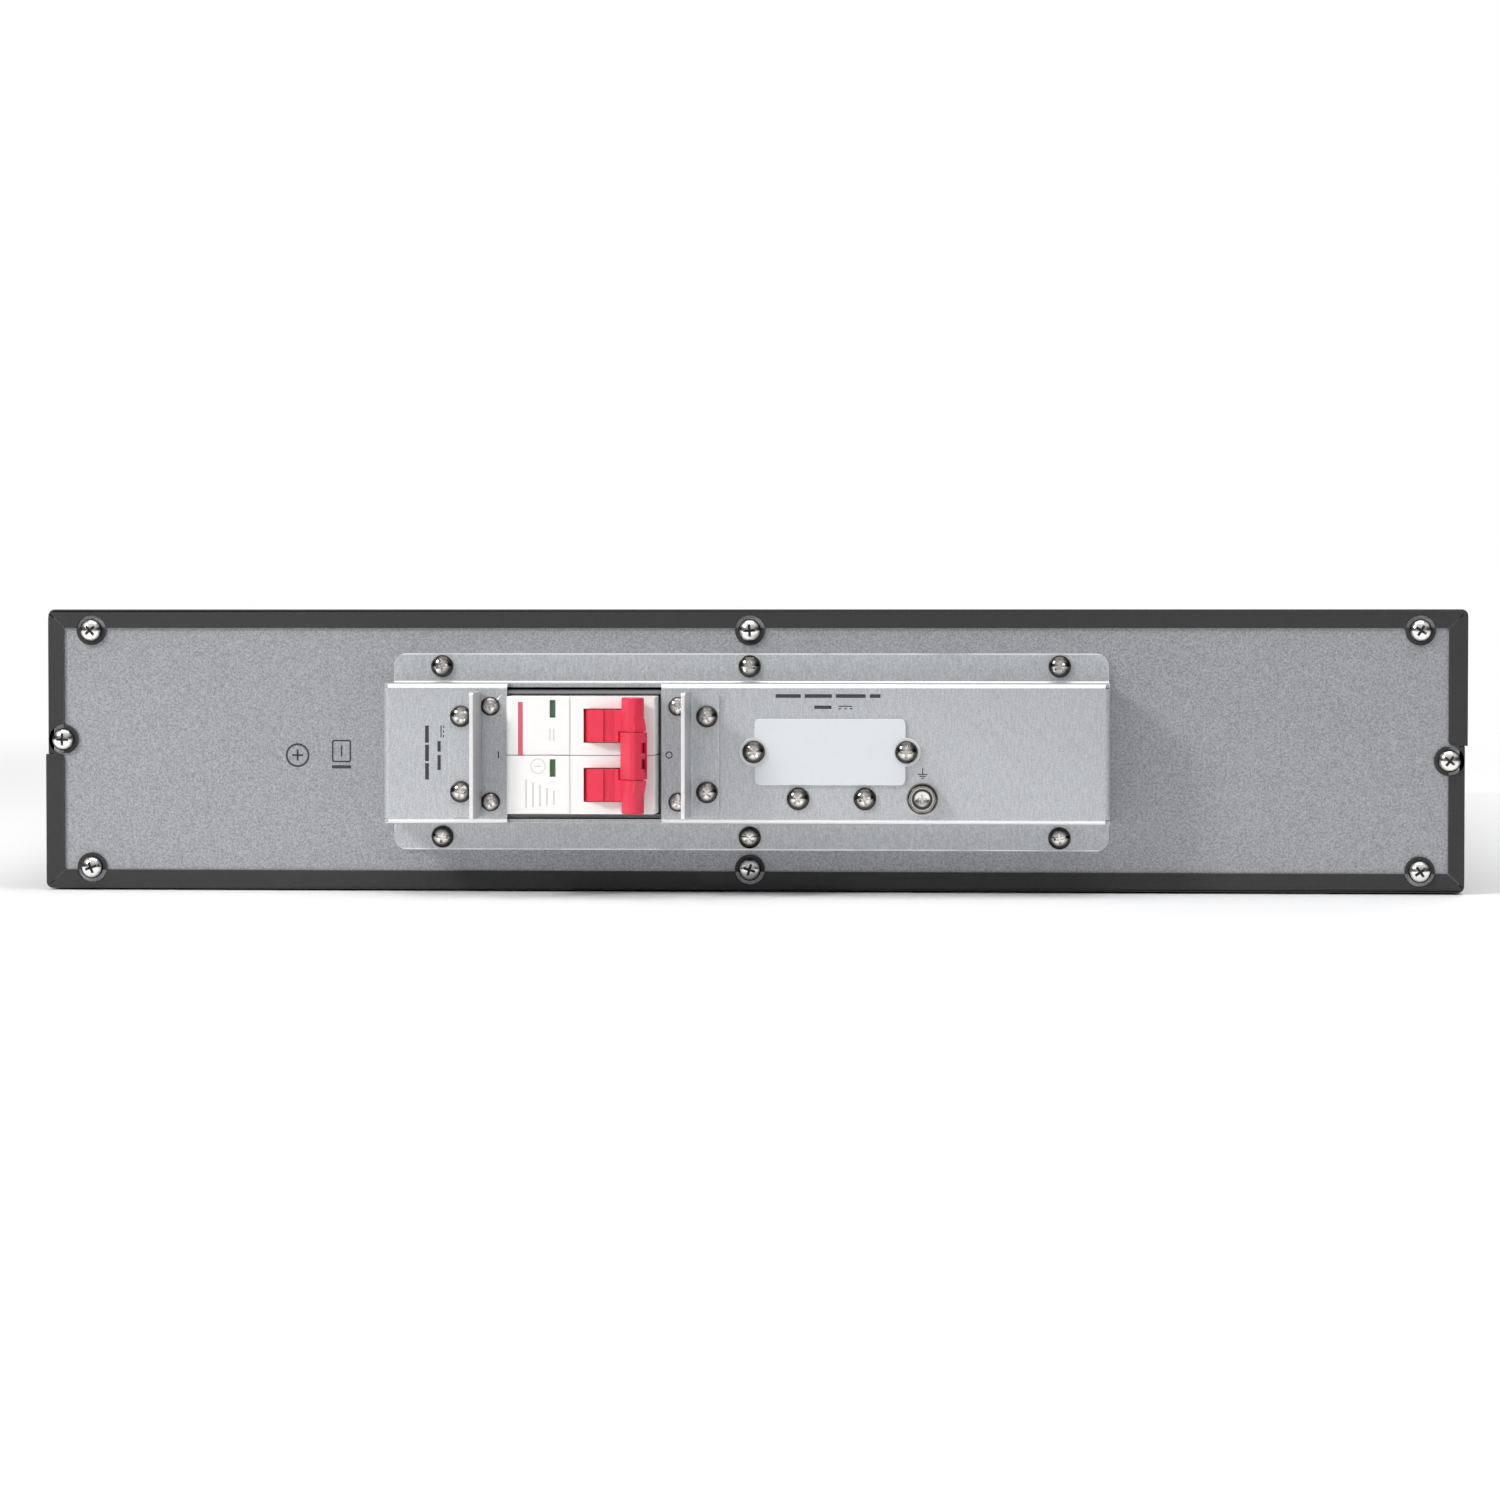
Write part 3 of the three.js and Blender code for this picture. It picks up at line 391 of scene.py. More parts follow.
def maths(tree, operation, a, b=0.0):
    return add(tree, "Math", {"operation": operation}, _0=a, _1=b).outputs[0]


def ramped(tree, value, low, high, to_low=0.0, to_high=1.0):
    node = add(tree, "MapRange", {}, _0=value, _1=low, _2=high, _3=to_low, _4=to_high)
    return node.outputs[0]


def noise(tree, coordinate, scale, detail=2.0, rough=0.5):
    return add(tree, "TexNoise", {}, Vector=coordinate, Scale=scale, Detail=detail,
               Roughness=rough).outputs[0]


def place_on(tree):
    """Where a point of the surface lies in the object's frame, in metres."""
    return add(tree, "TexCoord").outputs["Object"]


def along(tree, vector, axis):
    return add(tree, "SeparateXYZ", {}, Vector=vector).outputs[axis]


def put_out(group, given, value, out):
    """Spreads a value about a half by the group's contrast."""
    swing = maths(group, "MULTIPLY", maths(group, "SUBTRACT", value, 0.5), given.outputs["Contrast"])
    group.links.new(maths(group, "ADD", swing, 0.5), out.inputs["Value"])
    return group


def make_speckle(name, detail, rough):
    """Noise with nothing regular in it. Value is centred on a half."""
    group, given, out = effect(name, {"Scale": 20.0, "Contrast": 1.0}, {"Value": "NodeSocketFloat"})
    return put_out(group, given, noise(group, place_on(group), given.outputs["Scale"], detail, rough), out)


def make_brushing():
    """Long fine lines that run up and down the sheet. Value is centred on a half."""
    group, given, out = effect("brushing", {"Across": 1500.0, "Along": 40.0, "Contrast": 1.0},
                               {"Value": "NodeSocketFloat"})
    split = add(group, "SeparateXYZ", {}, Vector=place_on(group))
    stretched = add(group, "CombineXYZ", {},
                    X=maths(group, "MULTIPLY", split.outputs["X"], given.outputs["Across"]),
                    Y=maths(group, "MULTIPLY", split.outputs["Y"], given.outputs["Across"]),
                    Z=maths(group, "MULTIPLY", split.outputs["Z"], given.outputs["Along"])).outputs[0]
    return put_out(group, given, noise(group, stretched, 1.0, 4.0, 0.6), out)


def make_worn_and_highlighted_edges():
    """Mask of edges for edge wear and painted edge highlights, every rounded edge and inner corner, broken up
    by a fine noise.
    """
    group, given, out = effect("worn and highlighted edges", {"Strength": 1.0}, {"Mask": "NodeSocketFloat"})
    softened_normal = add(group, "Bevel", {"samples": 4}, Radius=0.0004).outputs[0]
    facing_out = add(group, "NewGeometry").outputs["Normal"]
    same = add(group, "VectorMath", {"operation": "DOT_PRODUCT"}, _0=softened_normal, _1=facing_out)
    edge = ramped(group, same.outputs["Value"], 0.985, 0.9)
    patchy = ramped(group, noise(group, place_on(group), 140.0, 5.0, 0.7), 0.35, 0.65, 0.5, 1.0)
    mask = maths(group, "MULTIPLY", maths(group, "MULTIPLY", edge, patchy), given.outputs["Strength"])
    group.links.new(mask, out.inputs["Mask"])
    return group


def make_dust():
    """Mask of thin dust that settles on faces turned upwards."""
    group, given, out = effect("settled dust", {"Amount": 0.1}, {"Mask": "NodeSocketFloat"})
    up = along(group, add(group, "NewGeometry").outputs["Normal"], "Z")
    patchy = ramped(group, noise(group, place_on(group), 60.0, 6.0, 0.65), 0.3, 0.7)
    mask = maths(group, "MULTIPLY", maths(group, "MULTIPLY", ramped(group, up, 0.6, 1.0), patchy),
                 given.outputs["Amount"])
    group.links.new(mask, out.inputs["Mask"])
    return group


# Grain is the fine even skin of plating, spray or moulding; clouding is slow patches from handling.
GRAIN, CLOUDING = make_speckle("grain", 3.0, 0.7), make_speckle("clouding", 4.0, 0.6)
BRUSHING = make_brushing()
WORN_AND_HIGHLIGHTED, DUST = make_worn_and_highlighted_edges(), make_dust()


def use(tree, group, **values):
    node = tree.nodes.new("ShaderNodeGroup")
    node.node_tree = group
    for key, value in values.items():
        node.inputs[key].default_value = value
    return node.outputs[0]


def blend(tree, factor, first, second, way="MIX"):
    node = add(tree, "Mix", {"data_type": "RGBA", "blend_type": way, "clamp_factor": True}, _0=factor)
    for index, value in ((6, first), (7, second)):
        if isinstance(value, bpy.types.NodeSocket):
            tree.links.new(value, node.inputs[index])
        else:
            node.inputs[index].default_value = (*value, 1.0)
    return node.outputs[2]


def shade(colour, factor):
    return tuple(channel * factor for channel in colour)


def new_material(name):
    material = bpy.data.materials.new(name)
    material.use_nodes = True
    return material, material.node_tree, material.node_tree.nodes["Principled BSDF"]


def finish(name, colour, roughness, metallic=0.0, grain=(2000.0, 0.5), spread=0.15, relief=0.0,
           clouds=(20.0, 0.5), tint=0.06, brushed=None, wear_and_highlight=None, dust=0.0, specular=0.5, adjust=None):
    """A procedural surface: colour and roughness vary by grain, patches, brushing, edge wear with painted
    edge highlights, and dust.
    """
    material, tree, shader = new_material(name)
    fine = use(tree, GRAIN, Scale=grain[0], Contrast=grain[1])
    slow = use(tree, CLOUDING, Scale=clouds[0], Contrast=clouds[1])
    tone = blend(tree, fine, shade(colour, 1 - spread), shade(colour, 1 + spread))
    tone = blend(tree, slow, blend(tree, tint, tone, (0, 0, 0)), blend(tree, tint, tone, (1, 1, 1)))
    height = fine
    if brushed:
        lines = use(tree, BRUSHING, Across=brushed[0], Along=brushed[1], Contrast=brushed[2])
        tone = blend(tree, brushed[3], tone, blend(tree, lines, shade(colour, 0.8), shade(colour, 1.15)))
        height = maths(tree, "ADD", fine, lines)
    if adjust:
        tone = adjust(tree, tone)
    dull = ramped(tree, slow, 0.2, 0.8, roughness - 0.05, roughness + 0.05)
    # The edge tone is partly wear and partly a painted highlight along every rounded edge.
    if wear_and_highlight:
        mask = use(tree, WORN_AND_HIGHLIGHTED, Strength=wear_and_highlight[1])
        tone = blend(tree, mask, tone, wear_and_highlight[0])
    if dust:
        mask = use(tree, DUST, Amount=dust)
        tone = blend(tree, mask, tone, (0.6, 0.58, 0.55))
        dull = maths(tree, "ADD", dull, maths(tree, "MULTIPLY", mask, 0.3))
    tree.links.new(tone, shader.inputs["Base Color"])
    tree.links.new(dull, shader.inputs["Roughness"])
    shader.inputs["Metallic"].default_value = metallic
    shader.inputs["Specular IOR Level"].default_value = specular
    if relief:
        bump = add(tree, "Bump", {}, Strength=relief, Distance=0.00004, Height=height)
        tree.links.new(bump.outputs["Normal"], shader.inputs["Normal"])
    return material


def flag_halves(tree, tone):
    """The window flag is green on its right half and red on its left half."""
    middle = node_centre("indicator_flag_upper").x * MM
    side = maths(tree, "GREATER_THAN", along(tree, place_on(tree), "X"), middle)
    return blend(tree, side, blend(tree, 0.9, tone, (0.55, 0.03, 0.05)), tone)


def from_axis(tree):
    """Distance from a fastener's own axis, in metres."""
    where = add(tree, "SeparateXYZ", {}, Vector=place_on(tree))
    flat = add(tree, "CombineXYZ", {}, X=where.outputs["X"], Y=where.outputs["Z"]).outputs[0]
    return add(tree, "VectorMath", {"operation": "LENGTH"}, _0=flat).outputs["Value"]


def painted_rim_shade(start, end):
    """Painted shade: the plating is darkened from one distance off the axis to another, a dark rim of painted
    shade and reflection.
    """
    def paint_rim_shade(tree, tone):
        waver = 0.9 * MM
        patchy = noise(tree, place_on(tree), 700.0, 3.0, 0.6)
        reach = maths(tree, "ADD", from_axis(tree), maths(tree, "MULTIPLY", patchy, waver))
        dark = ramped(tree, reach, start + waver / 2, end + waver / 2, 0.0, 0.94)
        return blend(tree, dark, tone, (0.025, 0.022, 0.02))
    return paint_rim_shade


def painted_dark_rings(*rings):
    """Painted dark reflections: concentric rings darkened towards black; each ring has a radius, a half width
    and a depth.
    """
    def paint_dark_rings(tree, tone):
        radius = from_axis(tree)
        for at, half, depth in rings:
            away = maths(tree, "ABSOLUTE", maths(tree, "SUBTRACT", radius, at))
            dark = ramped(tree, away, half * 1.5, half * 0.6, 0.0, depth)
            tone = blend(tree, dark, tone, (0.03, 0.027, 0.024))
        return tone
    return paint_dark_rings


def bare_tip_and_highlight(tree, tone):
    """The sheared tip of a guard's leg is bare metal; its near-white tone is partly that and partly a painted
    highlight.
    """
    back = along(tree, place_on(tree), "Y")
    tip = node_box("guard_left")[0].y * MM
    return blend(tree, ramped(tree, back, tip + 0.0006, tip + 0.0002), tone, (0.95, 0.95, 0.96))


def painted_bend_highlights(tree, tone):
    """Painted highlights: the outside of each bend is painted white where the normal slopes, and a broken
    white line is painted along the feet's outer edges.
    """
    slope = maths(tree, "ABSOLUTE", along(tree, add(tree, "NewGeometry").outputs["Normal"], "Z"))
    rising = ramped(tree, slope, 0.12, 0.4)
    falling = ramped(tree, slope, 0.98, 0.8)
    tone = blend(tree, maths(tree, "MULTIPLY", rising, falling), tone, (1.0, 1.0, 1.0))
    where = place_on(tree)
    height = along(tree, where, "Z")
    off_middle = maths(tree, "ABSOLUTE", maths(tree, "SUBTRACT", height, BOX_Z * MM))
    edge = (box_high.z - BOX_Z) * MM
    broken = ramped(tree, noise(tree, where, 35.0, 3.0, 0.6), 0.38, 0.46, 0.25, 1.0)
    painted_edge_line = maths(tree, "MULTIPLY", ramped(tree, off_middle, edge - 0.00055, edge - 0.0003), broken)
    return blend(tree, painted_edge_line, tone, (1.0, 1.0, 1.0))


# Edge tones: on the powder coat partly wear and partly a painted highlight; on the steels and the plate a
# pale painted edge highlight.
POWDER = finish("black powder coat", (0.038, 0.038, 0.039), 0.52, 0.0, (1400.0, 1.6), 0.16, 0.35,
                (14.0, 0.6), 0.006, wear_and_highlight=((0.11, 0.11, 0.11), 0.6), dust=0.03, specular=0.3)
PANEL_STEEL = finish("plated panel steel", (0.395, 0.405, 0.42), 0.42, 0.5, (2300.0, 3.4), 0.34, 0.3,
                     (16.0, 0.7), 0.04, wear_and_highlight=((0.8, 0.8, 0.82), 0.6), dust=0.05)
BOX_RECIPE = {"colour": (0.605, 0.62, 0.64), "roughness": 0.36, "metallic": 0.55, "grain": (2300.0, 3.4),
              "spread": 0.33, "relief": 0.3, "clouds": (12.0, 0.6), "tint": 0.03,
              "brushed": (1900.0, 420.0, 3.6, 0.5), "wear_and_highlight": ((0.97, 0.97, 0.98), 1.0), "dust": 0.05}
# Painted white bend highlights and edge lines on the box steel.
BOX_STEEL = finish("plated box steel", **BOX_RECIPE, adjust=painted_bend_highlights)
# The guard's near-white tip is partly bare metal and partly a painted highlight.
GUARD_STEEL = finish("plated guard steel", **BOX_RECIPE, adjust=bare_tip_and_highlight)
BLANK_STEEL = finish("painted blanking plate", (0.76, 0.79, 0.81), 0.4, 0.1, (1200.0, 0.6), 0.05, 0.1,
                     (10.0, 0.5), 0.02, wear_and_highlight=((0.97, 0.97, 0.97), 0.8))


def nickel(name, colour, roughness, adjust=None, clouds=(300.0, 0.8)):
    return finish(name, colour, roughness, 1.0, (3000.0, 1.0), 0.06, 0.06, clouds, 0.05, adjust=adjust)


NICKEL = nickel("polished nickel", (0.86, 0.845, 0.82), 0.16, clouds=(200.0, 0.8))
# Painted dark rims on the screw heads: painted shade and dark reflection near the edge of each head.
SCREW_NICKEL = nickel("nickel screw with painted rim shade", (0.88, 0.85, 0.80), 0.12, painted_rim_shade(0.0013, 0.0025))
CASE_NICKEL = nickel("bright nickel screw with painted rim shade", (0.95, 0.93, 0.90), 0.16, painted_rim_shade(0.0024, 0.0033))
# The dark rings on the bolt and the washer are painted dark reflections.
BOLT_NICKEL = nickel("nickel bolt with painted dark rings", (0.82, 0.79, 0.75), 0.14,
                     painted_dark_rings((0.00275, 0.0004, 0.94), (0.0036, 0.00014, 0.7), (0.0044, 0.0005, 0.9)))
WASHER_NICKEL = nickel("nickel washer with painted dark ring", (0.82, 0.80, 0.76), 0.2, painted_dark_rings((0.0041, 0.0006, 0.94)))
CRADLE_STEEL = finish("blackened cradle steel", (0.10, 0.10, 0.105), 0.45, 0.5, (2400.0, 1.2), 0.2, 0.2)
WHITE_SHELL = finish("white breaker shell", (0.95, 0.945, 0.93), 0.36, 0.0, (1800.0, 0.6), 0.03, 0.12,
                     (25.0, 0.5), 0.015)
RED_PLASTIC = finish("red toggle plastic", (0.76, 0.024, 0.066), 0.3, 0.0, (1500.0, 0.6), 0.08, 0.1,
                     (40.0, 0.5), 0.02)
FLAG_PLASTIC = finish("flag plastic", (0.06, 0.19, 0.08), 0.45, 0.0, (1500.0, 0.6), 0.08, 0.1,
                      adjust=flag_halves)
BLACK_PLASTIC = finish("black moulded plastic", (0.022, 0.022, 0.024), 0.45, 0.0, (900.0, 0.9), 0.2, 0.4,
                       (30.0, 0.6), 0.01, dust=0.06)
BLOCK_CASE = finish("battery block case", (0.035, 0.036, 0.04), 0.5, 0.0, (700.0, 0.9), 0.2, 0.4,
                    (20.0, 0.6), 0.01, dust=0.1)
RED_CABLE = finish("red cable sheath", (0.5, 0.02, 0.025), 0.4, 0.0, (1200.0, 0.7), 0.1, 0.15)
BLACK_CABLE = finish("black cable sheath", (0.02, 0.02, 0.02), 0.4, 0.0, (1200.0, 0.7), 0.1, 0.15)
INK = finish("printed ink", (0.03, 0.03, 0.032), 0.5, 0.0, (3000.0, 0.8), 0.3, 0.0, (300.0, 0.8), 0.02)
PALE_INK = finish("pale printed ink", (0.7, 0.69, 0.66), 0.45, 0.0, (3000.0, 0.8), 0.05, 0.0)
RED_INK = finish("red printed ink", (0.72, 0.09, 0.15), 0.45, 0.0, (3000.0, 0.8), 0.05, 0.0)


# ---- folded case ---------------------------------------------------------------------------------
case_screws = [node_centre(f"case_screw_{i}") for i in range(1, 9)]


def at_rim(vert, y):
    """True on the outer edge of an end lip, where the wall folds round into it."""
    x, z = vert.co.x, vert.co.z
    bend = CASE["bend"]
    if abs(vert.co.y - y) > 0.01 or z < CASE["seam"] + 0.2:
        return False
    if abs(z - CASE_TOP) < 0.01 or abs(x - HALF_WIDTH) < 0.01 or abs(x - TONGUE_X) < 0.01:
        return True
    side = HALF_WIDTH - bend if x > 0 else TONGUE_X + bend
    return abs(math.hypot(x - side, z - CASE_TOP + bend) - bend) < 0.02 and z > CASE_TOP - bend


def cover_shell():
    """The upper half: walls, end lips, screw lobes, open mitres and the holes for rack ears."""
    sheet, bend, lip, seam = CASE["sheet"], CASE["bend"], CASE["lip"], CASE["seam"]
    edge = CASE_TOP - seam
    clear = 0.3
    length = FRONT_Y - REAR_Y
    section = rounded([
        (HALF_WIDTH, edge), (HALF_WIDTH, CASE_TOP, bend), (TONGUE_X, CASE_TOP, bend),
        (TONGUE_X, cover_low.z), (TONGUE_X + sheet, cover_low.z),
        (TONGUE_X + sheet, CASE_TOP - sheet, bend - sheet),
        (HALF_WIDTH - sheet, CASE_TOP - sheet, bend - sheet), (HALF_WIDTH - sheet, edge)])
    lip_outline = rounded([
        (HALF_WIDTH, edge), (HALF_WIDTH, CASE_TOP, bend), (TONGUE_X, CASE_TOP, bend),
        (TONGUE_X, seam + clear), (lip - HALF_WIDTH, seam + clear, 0.8),
        (lip - HALF_WIDTH, CASE_TOP - lip, 0.6), (HALF_WIDTH - lip, CASE_TOP - lip, 0.6),
        (HALF_WIDTH - lip, edge, 1.5)])
    shell = join(prism(section, length, facing(REAR_Y)), prism(lip_outline, sheet, facing(REAR_Y)),
                 prism(lip_outline, sheet, facing(FRONT_Y - sheet)))
    rims = [e for e in shell.edges for y in (REAR_Y, FRONT_Y) if all(at_rim(v, y) for v in e.verts)]
    bmesh.ops.bevel(shell, geom=rims, offset=CASE["lip_bend"], segments=4, profile=0.5,
                    affect="EDGES", clamp_overlap=True)
    own = [c for c in case_screws if c.z > seam + 4]
    shell = join(shell, *[bar(c.x, c.z, CASE["lobe"], REAR_Y, REAR_Y + sheet) for c in own])
    holes = [bar(c.x, c.z, HOLE, REAR_Y - 1, REAR_Y + 2, 24) for c in own]
    short = sheet + clear
    ends = [block(-HALF_WIDTH - 1, 15 - HALF_WIDTH, y0, y1, -1, seam + clear)
            for y0, y1 in ((REAR_Y - 1, REAR_Y + short), (FRONT_Y - short, FRONT_Y + 1))]
    return cut(shell, *holes, *ends, *mitres(), *ear_holes())


def mitres():
    """Thin cutters along the open mitres between the upper lip and the side lips."""
    slits = []
    for side in SIDES:
        slit = block(-0.6, 6.3, REAR_Y - 1, REAR_Y + 3, -CASE["slit"] / 2, CASE["slit"] / 2)
        slit.transform(Matrix.Rotation(math.radians(-45 if side > 0 else -135), 4, "Y"))
        corner = Vector((side * (HALF_WIDTH - CASE["lip"]), 0, CASE_TOP - CASE["lip"]))
        slit.transform(Matrix.Translation(corner))
        slits.append(slit)
    return slits


def ear_holes():
    return [prism(circle(FRONT_Y - back, EAR_HOLES["height"], EAR_HOLES["radius"], 32), 2 * HALF_WIDTH + 4,
                  lengthways(-HALF_WIDTH - 2)) for back in EAR_HOLES["behind_front"]]


def half_turn():
    """The lower half is the upper one turned over about the cabinet's long axis."""
    return Matrix.Translation((0, 0, CASE_TOP)) @ Matrix.Rotation(math.pi, 4, "Y")


def make_covers():
    upper = softened(cover_shell(), 0.12)
    lower = upper.copy()
    lower.transform(half_turn())
    for shape, half in ((upper, "top_cover"), (lower, "bottom_cover")):
        piece("folded_" + half, shape, POWDER, "cabinet", "black_powder_coat", half, SHEET_CREASE)


# ---- terminal box --------------------------------------------------------------------------------
def screw_holes(prefix, count, y0, y1, radius=HOLE):
    places = [node_centre(f"{prefix}_{i}") for i in range(1, count + 1)]
    return [bar(c.x, c.z, radius, y0, y1, 24) for c in places]


def waste_corner(x, z, sx, sz, radius, place, over=0.6, steps=8):
    """The waste outside a rounded corner of a flat plate; place starts 3 mm short of the plate's face."""
    arc = [(x - sx * radius * (1 - math.sin(a)), z - sz * radius * (1 - math.cos(a)))
           for a in [math.pi / 2 * k / steps for k in range(steps + 1)]]
    outside = [(x + sx * over, z - sz * radius), (x + sx * over, z + sz * over),
               (x - sx * radius, z + sz * over)]
    return prism(arc + outside, 6, place)


def make_terminal_box():
    """A hat section screwed to the panel: web, two walls and two feet, closed by a flange at each end."""
    sheet, bend, tight = BOX["sheet"], BOX["bend"], BOX["tight"]
    foot = box_high.y
    web = BOX["web"] / 2
    span = (box_high.z - box_low.z) / 2
    end = box_high.x
    section = rounded([
        (foot, BOX_Z - span), (foot - sheet, BOX_Z - span), (foot - sheet, BOX_Z - web, tight),
        (WEB_Y, BOX_Z - web, bend), (WEB_Y, BOX_Z + web, bend), (foot - sheet, BOX_Z + web, tight),
        (foot - sheet, BOX_Z + span), (foot, BOX_Z + span), (foot, BOX_Z + web - sheet, bend),
        (WEB_Y + sheet, BOX_Z + web - sheet, tight), (WEB_Y + sheet, BOX_Z - web + sheet, tight),
        (foot, BOX_Z - web + sheet, bend)])
    shell = prism(section, 2 * end, lengthways(-end))
    rise = web - sheet - 0.3
    seam = end - bend
    trims = [block(*sorted((s * seam, s * (end + 1))), WEB_Y - 1, WEB_Y + sheet + 0.2, BOX_Z - rise,
                   BOX_Z + rise) for s in SIDES]
    shell = cut(shell, *trims)
    flanges = []
    for s in SIDES:
        profile = rounded([(s * (seam - 0.01), WEB_Y), (s * end, WEB_Y, bend), (s * end, foot - GAP),
                           (s * (end - sheet), foot - GAP), (s * (end - sheet), WEB_Y + sheet, tight),
                           (s * (seam - 0.01), WEB_Y + sheet)])
        flanges.append(prism(profile, 2 * rise, standing(BOX_Z - rise)))
    shell = join(shell, *flanges)
    window = block(BREAKER_X - WINDOW / 2, BREAKER_X + WINDOW / 2, WEB_Y - 1, WEB_Y + 7, BOX_Z - web - 1,
                   BOX_Z + web + 1)
    plate = node_centre("connector_blanking_plate")
    socket = prism(rectangle(plate.x, plate.z, *SOCKET, 1.5), 5, facing(WEB_Y - 2))
    reliefs = [bar(sx * (end - 0.3), BOX_Z + sz * (web - 0.9), BOX["relief"], WEB_Y - 1, WEB_Y + bend + 1, 24)
               for sx in SIDES for sz in SIDES]
    corners = [waste_corner(sx * end, BOX_Z + sz * span, sx, sz, BOX["foot_corner"], facing(foot - 3))
               for sx in SIDES for sz in SIDES]
    through_web = WEB_Y - 1, WEB_Y + 3
    holes = (screw_holes("guard_screw", 4, *through_web)
             + screw_holes("plate_screw", 2, *through_web)
             + screw_holes("connector_screw", 2, *through_web)
             + screw_holes("cradle_screw", 4, *through_web, SMALL_HOLE)
             + screw_holes("box_screw", 6, foot - 3, foot + 1))
    earth = node_centre("earth_washer")
    holes.append(bar(earth.x, earth.z, HOLE, *through_web, 24))
    shell = cut(shell, window, socket, *reliefs, *corners, *holes)
    piece("folded_terminal_box", softened(shell, 0.2, 3), BOX_STEEL, "cabinet", "box_steel",
          "terminal_box", SHEET_CREASE)


def make_guard(name, side):
    """An L bracket: its flange is screwed to the web and its leg stands beside the toggles."""
    low, high = node_box(name)
    face = high.y
    leg = BREAKER_X + side * GUARD["inner"]
    outer = leg + side * GUARD["flange"]
    sheet = GUARD["sheet"]
    section = rounded([
        (leg, low.y, 0.3), (leg + side * sheet, low.y, 0.3), (leg + side * sheet, face - sheet, 0.8),
        (outer, face - sheet), (outer, face), (leg, face, 2)])
    bracket = prism(section, high.z - low.z, standing(low.z))
    ends = [(sz, BREAKER_Z + sz * GUARD["height"] / 2) for sz in SIDES]
    wastes = [waste_corner(outer, z, side, sz, GUARD["corner"], facing(face - 3)) for sz, z in ends]
    tips = [waste_corner(low.y, z, -1, sz, GUARD["tip"], lengthways(leg - 3), 1, 6) for sz, z in ends]
    places = [node_centre(f"guard_screw_{i}") for i in range(1, 5)]
    holes = [bar(c.x, c.z, HOLE, face - 3, face + 1, 24) for c in places if (c.x - BREAKER_X) * side > 0]
    shape = softened(cut(bracket, *wastes, *tips, *holes), 0.14)
    piece("bent_" + name, shape, GUARD_STEEL, "cabinet", "box_steel", name, SHEET_CREASE)


def make_blanking_plate():
    low, high = node_box("connector_blanking_plate")
    x, z = (low.x + high.x) / 2, (low.z + high.z) / 2
    sheet = PLATE["sheet"]
    ears = [bar(x + s * PLATE["ear_span"] / 2, z, PLATE["ear"], low.y, low.y + sheet, 48) for s in SIDES]
    plate = join(prism(rectangle(x, z, PLATE["width"], PLATE["height"], 1.6), sheet, facing(low.y)), *ears)
    plate = cut(plate, *screw_holes("plate_screw", 2, low.y - 1, high.y + 1))
    piece("pressed_blanking_plate", softened(plate, 0.16, 3), BLANK_STEEL, "cabinet", "blanking_plate",
          "connector_blanking_plate", SHEET_CREASE)


# ---- breaker -------------------------------------------------------------------------------------
def make_pole(level):
    """One pole's moulding: nose, shoulders with screw wells, a rail notch, and room for toggle and flag."""
    name = f"breaker_pole_{level}"
    low, high = node_box(name)
    z = (low.z + high.z) / 2
    nose, body, back = NOSE["length"] / 2, NOSE["body"] / 2, NOSE["back"]
    outline = rounded([(BREAKER_X + x, NOSE_Y + depth, radius) for x, depth, radius in (
        (-nose, 0, 1.6), (nose, 0, 1.6), (nose, NOSE["depth"], 0.5), (body, NOSE["depth"], 1.5),
        (body, back - 4, 0), (body - 4, back, 0), (17.8, back, 0), (17.8, back - 7, 0),
        (-17.8, back - 7, 0), (-17.8, back, 0), (4 - body, back, 0), (-body, back - 4, 0),
        (-body, NOSE["depth"], 1.5), (-nose, NOSE["depth"], 0.5))])
    shell = softened(prism(outline, NOSE["width"], standing(low.z)), 0.35, 3)
    half = TOGGLE["hub_width"] / 2 + 0.3
    turn = prism(circle(pin_middle.x, pin_middle.y, TOGGLE["hub"] + 0.4, 64), 2 * half, standing(z - half))
    mouth = block(pin_middle.x - TOGGLE["mouth"], pin_middle.x + TOGGLE["mouth"], NOSE_Y - 1, pin_middle.y,
                  z - half, z + half)
    bore = prism(circle(pin_middle.x, pin_middle.y, PIN_BORE, 24), NOSE["width"] + 2, standing(low.z - 1))
    flag_low, flag_high = node_box(f"indicator_flag_{level}")
    flag_x = flag_high.x - FLAG["travel"] / 2
    flag_z = (flag_low.z + flag_high.z) / 2
    window, room = [block(flag_x - wide / 2, flag_x + wide / 2, NOSE_Y + near, NOSE_Y + far,
                          flag_z - tall / 2, flag_z + tall / 2)
                    for (wide, tall), near, far in ((FLAG["window"], -1, 1.3), (FLAG["room"], 1, 2.4))]
    entries = [prism(circle(NOSE_Y + 40, z, 3.4, 32), 16, lengthways(BREAKER_X + s * body - 8))
               for s in SIDES]
    wells = [prism(circle(BREAKER_X + s * 31, z, 3.6, 32), 14, facing(NOSE_Y + 16)) for s in SIDES]
    seam = block(BREAKER_X - nose - 1, BREAKER_X + nose + 1, NOSE_Y - 1, NOSE_Y + 0.12, z - 7.9, z - 7.75)
    step = block(BREAKER_X - LABEL_EDGE, BREAKER_X + nose + 1, NOSE_Y - 1, NOSE_Y + 0.45, z - 9, z + 9)
    shell = cut(shell, turn, mouth, bore, window, room, seam, step, *entries, *wells)
    piece(f"moulded_pole_{level}", shell, WHITE_SHELL, "cabinet", "white_plastic", name, MOULD_CREASE)


def lean():
    """From a lever that stands straight out of the nose at the pin to one leaned to the off side."""
    to_pin = Matrix.Translation((pin_middle.x, pin_middle.y, 0))
    return to_pin @ Matrix.Rotation(math.radians(TOGGLE["swing"]), 4, "Z")


